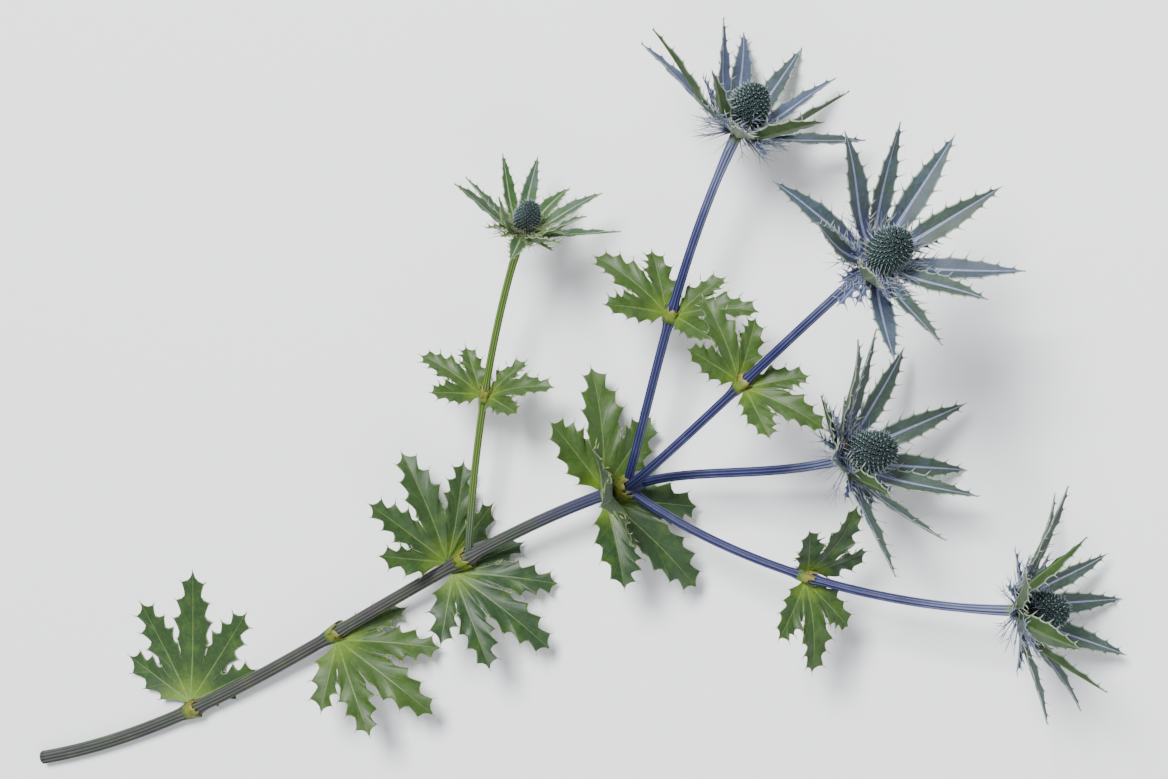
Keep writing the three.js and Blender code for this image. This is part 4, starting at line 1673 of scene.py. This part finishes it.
@dataclass(frozen=True)
class LeafPlan:
    """Where a leaf grows on a stem and how it is held."""

    name: str
    on: Stem
    at: float
    side: float
    spread: float
    size: float
    division: Division
    facing: float = 0.5  # the share by which its upper face turns to the sky
    kind: BladeKind = BladeKind.LEAF


@dataclass
class SpinyLeaf:
    """A lobed, spiny leaf that clasps a joint."""

    plan: LeafPlan
    seed: int
    base: float = 0.045  # half the width of its root, as a share of its size
    narrowed: float = 0.5  # what is left of the width of a side that faces another lobe
    first_tooth: float = 0.35  # what is left of the tooth nearest the notch on such a side
    sunk: float = 0.6  # how deep its root is in the stem
    rise: float = 0.3  # its midrib's slope at the root, in radians
    droop: float = 0.85  # how much of the slope it loses by its tip
    lift: float = 0.3  # how steeply it may be lifted off the surface
    lifts: int = 20  # in how many steps
    stiffened: float = 0.5  # how much of its droop it has lost by then
    looks: int = 12  # at how many places along a lobe the way to the surface is measured
    tints: Spread = Spread(row=1)

    def build(self) -> None:
        """Builds the leaf as one piece."""
        tissue, sides = Tissue(), self._sides()
        blade = Blade(self.plan.kind.value, sides, self._bed(sides), self.seed)
        blade.grow(tissue, Matrix(), self.tints.at(self.seed))
        dress(tissue, self.plan.name, "blade", LEAF, Slot.LEAF, FLAT_WALL)

    def _sides(self) -> list[LobeSide]:
        """Shapes the lobes.

        Returns:
            The two sides of every lobe.
        """
        form, size, sides = self.plan.kind.value, self.plan.size, []
        lobes, notches = self.plan.division.value
        for (number, lobe), sign in product(enumerate(lobes), (1, -1)):
            outermost = not 0 <= number + sign < len(lobes)
            start = Vector((0.0, sign * self.base * size, 0.0))
            narrowed, first = 1.0, 1.0
            if not outermost:
                between = (lobe.degrees + lobes[number + sign].degrees) / 2
                start = polar(radians(between), notches[min(number, number + sign)] * size)
                narrowed, first = self.narrowed, self.first_tooth
            tip = polar(radians(lobe.degrees), lobe.length * size)
            width = lobe.half_width * size * narrowed
            sides.append(LobeSide(form, start, tip, sign, width, lobe.teeth, form.tooth * size, first))
        return sides

    def _bed(self, sides: Sequence[LobeSide]) -> Bed:
        """Finds how the leaf lies: lifted and turned to the sky until it clears the surface.

        Args:
            sides: The sides of its lobes.

        Returns:
            Its bed.
        """
        plan = self.plan
        here = plan.on.path.station(plan.at)
        radial = here.outward(plan.side)
        spread = radians(plan.spread)
        grown = here.along * cos(spread) + radial * sin(spread)
        inner = here.along * sin(spread) - radial * cos(spread)
        root = here.origin + radial * (plan.on.radius(plan.at) - self.sunk)
        if plan.kind is BladeKind.FLAT_LEAF:
            drop = root.z - HALF_WALL + TOUCH
            level = Vector((grown.x, grown.y, 0.0))
            return Bed(root, level, SKY, plan.size, settling(4.0 * drop / plan.size))
        for step in range(self.lifts + 1):
            settle = step / self.lifts
            forward = grown.copy()
            forward.z = part_way(forward.z, max(forward.z, self.lift), settle)
            over = inner.lerp(SKY, part_way(plan.facing, 1.0, settle))
            slope = sinking(self.rise, self.droop * (1.0 - self.stiffened * settle))
            bed = Bed(root, forward, over, plan.size, slope)
            if bed.lowest(sides, Matrix(), self.looks) > CLEAR:
                break
        return bed


def sinking(rise: float, droop: float) -> Callable[[float], float]:
    """The slope of a leaf's midrib that rises from its root and droops to its tip."""
    return lambda t: rise - droop * t


def settling(first: float) -> Callable[[float], float]:
    """The slope of a leaf's midrib that falls by a quarter of its first slope, and then lies level."""
    return lambda t: -first * (1.0 - t) ** 3


# ---- the whole stem


# Each flower stalk: its number, its place and side on the main stem, its end and which way it faces
# there, and its head's size and seed.
STALK_PLANS = (
    StalkPlan(1, 1.0, None, Vector((172, -30, 46)), Vector((0.95, -0.16, 0.26)), 1.04, 3, blueness=0.3),
    StalkPlan(2, 0.975, 76.0, Vector((196, 116, 41)), Vector((0.82, 0.56, 0.08)), 1.0, 7, blueness=0.85),
    StalkPlan(3, 0.975, -76.0, Vector((206, -122, 40)), Vector((0.9, -0.42, 0.08)), 0.96, 12, blueness=0.35),
    StalkPlan(4, 0.975, 10.0, Vector((238, 40, 100)), Vector((0.76, 0.14, 0.62)), 1.0, 21, blueness=0.5),
    StalkPlan(5, 0.73, 70.0, Vector((88, 124, 42)), Vector((0.76, 0.56, 0.3)), 0.7, 33, young=True),
)

# Each leaf of the main stem: its name, place, side, spread, size, division, facing and kind.
STEM_LEAVES = (
    ("lower_leaf_1", 0.25, 96, 62, 66, Division.FIVE, 1.0, BladeKind.FLAT_LEAF),
    ("lower_leaf_2", 0.5, -80, 60, 62, Division.FIVE, 0.6),
    ("axil_leaf_1", 0.7, 82, 76, 58, Division.FIVE, 0.55),
    ("axil_leaf_2", 0.7, -90, 64, 60, Division.FIVE, 0.6),
    ("whorl_leaf_1", 0.944, 100, 74, 58, Division.THREE, 0.5),
    ("whorl_leaf_2", 0.944, -100, 66, 60, Division.THREE, 0.55),
    ("whorl_leaf_3", 0.944, 0, 60, 54, Division.THREE, 0.1),
)

# The leaf pair of each side stalk: the stalk's number, and each leaf's side, spread and size.
STALK_LEAVES = (
    (2, (82, 64, 42), (-82, 62, 40)),
    (3, (82, 62, 40), (-82, 66, 42)),
    (4, (88, 64, 40), (-88, 62, 40)),
    (5, (82, 64, 34), (-82, 62, 34)),
)


@dataclass
class SeaHolly:
    """The whole cut stem: its main stem, flower stalks, heads and leaves."""

    stalk_radii: Pair = (2.1, 2.7)
    leaving: float = 50.0  # degrees between the main stem and a side stalk where they part
    leaving_reach: float = 0.28  # handles of a stalk's path, as shares of its span
    arriving_reach: float = 0.38
    pair_at: float = 0.5  # where a side stalk bears its leaves
    leaf_seeds: tuple[int, int] = (40, 3)  # the first leaf's, and the step from each to the next

    def build(self) -> None:
        """Builds every piece in order, from the cut end to the heads."""
        main = self._main_stem()
        main.build()
        stalks = {plan.number: self._stalk(main, plan) for plan in STALK_PLANS}
        for plan in STALK_PLANS:
            stalks[plan.number].build()
            for part in (Seat, Ruff, CombRing, NeedleRing, FloretCone, ScaleRing):
                part(plan).build()
        for number, leaf in enumerate(self._leaf_plans(main, stalks)):
            SpinyLeaf(leaf, self.leaf_seeds[0] + self.leaf_seeds[1] * number).build()

    def _main_stem(self) -> CutStem:
        """Lays the main stem, from its cut end to where the flower stalks part.

        Returns:
            The main stem.
        """
        handles = ((-285, 14, 3.3), (-170, -18, 3.2), (-30, 20, 15), (78, 0, 26))
        joints = ((0.25, 1.0, 8.0), (0.5, 1.0, 8.0), (0.722, 1.6, 10.0), (0.972, 2.2, 12.0))
        path = Path(*(Vector(handle) for handle in handles))
        whole = tuple(Joint(*joint) for joint in joints)
        return CutStem("main_stem", path, (3.4, 2.8), whole, STEM, Slot.STEM, seed=5, ribs=11)

    def _stalk(self, main: Stem, plan: StalkPlan) -> FlowerStalk:
        """Lays a flower stalk, from inside the main stem to its head.

        Args:
            main: The main stem.
            plan: The stalk's plan.

        Returns:
            The stalk.
        """
        here = main.path.station(plan.leaves_at)
        leave, joints = here.along, ()
        if plan.side is not None:
            angle = radians(self.leaving)
            leave = here.along * cos(angle) + here.outward(plan.side) * sin(angle)
            joints = (Joint(self.pair_at, swell=1.0, half_length=7.0),)
        reach = (plan.end - here.origin).length
        arrive = plan.end - plan.facing.normalized() * (self.arriving_reach * reach)
        path = Path(here.origin, here.origin + leave * (self.leaving_reach * reach), arrive, plan.end)
        low, high = (sqrt(plan.size) * radius for radius in self.stalk_radii)
        looks = (YOUNG_STALK, Slot.YOUNG_STALK) if plan.young else (STALK, Slot.STALK)
        name = f"flower_stalk_{plan.number}"
        return FlowerStalk(name, path, (low, high), joints, *looks, plan.seed, step=2.5)

    def _leaf_plans(self, main: Stem, stalks: dict[int, Stem]) -> Iterator[LeafPlan]:
        """Says where every leaf grows, from the cut end up.

        Args:
            main: The main stem.
            stalks: The flower stalks by number.

        Yields:
            The plan of each leaf.
        """
        for name, *held in STEM_LEAVES:
            yield LeafPlan(name, main, *held)
        pairs = [(stalk, held) for stalk, *pair in STALK_LEAVES for held in pair]
        for number, (stalk, held) in enumerate(pairs, start=1):
            yield LeafPlan(f"stalk_leaf_{number}", stalks[stalk], self.pair_at, *held, Division.THREE)


@dataclass(frozen=True)
class SoftLight:
    """A softbox: where it hangs, how wide it is and how bright it shines, in metres and watts."""

    name: str
    place: tuple[float, float, float]
    width: float
    power: float


@dataclass
class Studio:
    """A pale floor, soft light, and the camera that looks down on the stem from its heads' side."""

    floor_size: float = 8.0
    floor_colour: str = "#F4F5F7"
    floor_roughness: float = 0.85
    sky_colour: str = "#EEF1F6"
    sky_strength: float = 0.55
    lights: tuple[SoftLight, ...] = (
        SoftLight("key_softbox", (0.85, 2.05, 3.25), 1.3, 335.0),
        SoftLight("fill_softbox", (0.5, -2.65, 2.65), 2.8, 52.0),
    )
    lens: float = 85.0
    tilt: float = 20.0  # degrees between the camera's line of sight and straight down
    lean: float = 62.0  # degrees between the stem and the picture's upright
    picture: tuple[int, int] = (1168, 779)
    margin: float = 1.04
    rounds: int = 12  # how often the camera's place is improved

    def build(self) -> None:
        """Builds the floor, the lights and the camera."""
        self._build_floor()
        self._build_lights()
        self._build_camera()

    def _add(self, name: str, data: ID) -> Object:
        """Adds an object to the scene.

        Args:
            name: Its name.
            data: Its mesh, light or camera.

        Returns:
            The object, turned by a quaternion.
        """
        made = bpy.data.objects.new(name, data)
        made.rotation_mode = "QUATERNION"
        bpy.context.scene.collection.objects.link(made)
        return made

    def _build_floor(self) -> None:
        """Lays the matt floor just under the stem."""
        mesh = bmesh.new()
        bmesh.ops.create_grid(mesh, x_segments=1, y_segments=1, size=self.floor_size / 2)
        shape = bpy.data.meshes.new("studio_floor")
        mesh.to_mesh(shape)
        mesh.free()
        matt = bpy.data.materials.new("matt_paper")
        matt.use_nodes = True
        shader = matt.node_tree.nodes["Principled BSDF"]
        shader.inputs["Base Color"].default_value = linear(self.floor_colour)
        shader.inputs["Roughness"].default_value = self.floor_roughness
        shape.materials.append(matt)
        floor = self._add("studio_floor", shape)
        floor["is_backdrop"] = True

    def _build_lights(self) -> None:
        """Hangs the softboxes, each aimed at the stem, and lights the room evenly."""
        for soft in self.lights:
            lamp = bpy.data.lights.new(soft.name, "AREA")
            lamp.size = soft.width
            lamp.energy = soft.power
            hung = self._add(soft.name, lamp)
            hung.location = soft.place
            hung.rotation_quaternion = (-hung.location).to_track_quat("-Z", "Y")
        world = bpy.data.worlds.new("pale_room")
        world.use_nodes = True
        room = world.node_tree.nodes["Background"]
        room.inputs["Color"].default_value = linear(self.sky_colour)
        room.inputs["Strength"].default_value = self.sky_strength
        bpy.context.scene.world = world

    def _build_camera(self) -> None:
        """Aims the camera and backs it off until the whole stem just fits the picture."""
        lens = bpy.data.cameras.new("studio_camera")
        lens.lens = self.lens
        camera = self._add("studio_camera", lens)
        bpy.context.scene.camera = camera
        tilt, lean = radians(self.tilt), radians(self.lean)
        back = Vector((sin(tilt), 0.0, cos(tilt)))
        stem_up = Vector((cos(tilt), 0.0, -sin(tilt)))
        up = stem_up * cos(lean) + back.cross(stem_up) * sin(lean)
        right = up.cross(back)
        half_width = lens.sensor_width / 2 / self.lens / self.margin
        half_height = half_width * self.picture[1] / self.picture[0]
        spots = np.array([vert.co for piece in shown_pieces() for vert in piece.data.vertices])
        x, y, z = (spots @ np.array(axis) for axis in (right, up, back))
        centre = [0.0, 0.0]
        distance = 0.0
        for _ in range(self.rounds):
            wide, high = np.abs(x - centre[0]) / half_width, np.abs(y - centre[1]) / half_height
            distance = float((np.maximum(wide, high) + z).max())
            for axis, values in enumerate((x, y)):
                seen = (values - centre[axis]) / (distance - z)
                centre[axis] += float((seen.max() + seen.min()) / 2) * (distance - float(z.mean()))
        camera.location = right * centre[0] + up * centre[1] + back * distance
        camera.rotation_quaternion = Matrix((right, up, back)).transposed().to_quaternion()


def write_sizes() -> None:
    """Updates the view layer."""
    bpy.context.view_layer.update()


def main() -> None:
    """Builds the stem, then the studio round it."""
    logging.basicConfig(level=logging.INFO, format="%(message)s")
    SeaHolly().build()
    Studio().build()
    write_sizes()


if __name__ == "__main__":
    main()
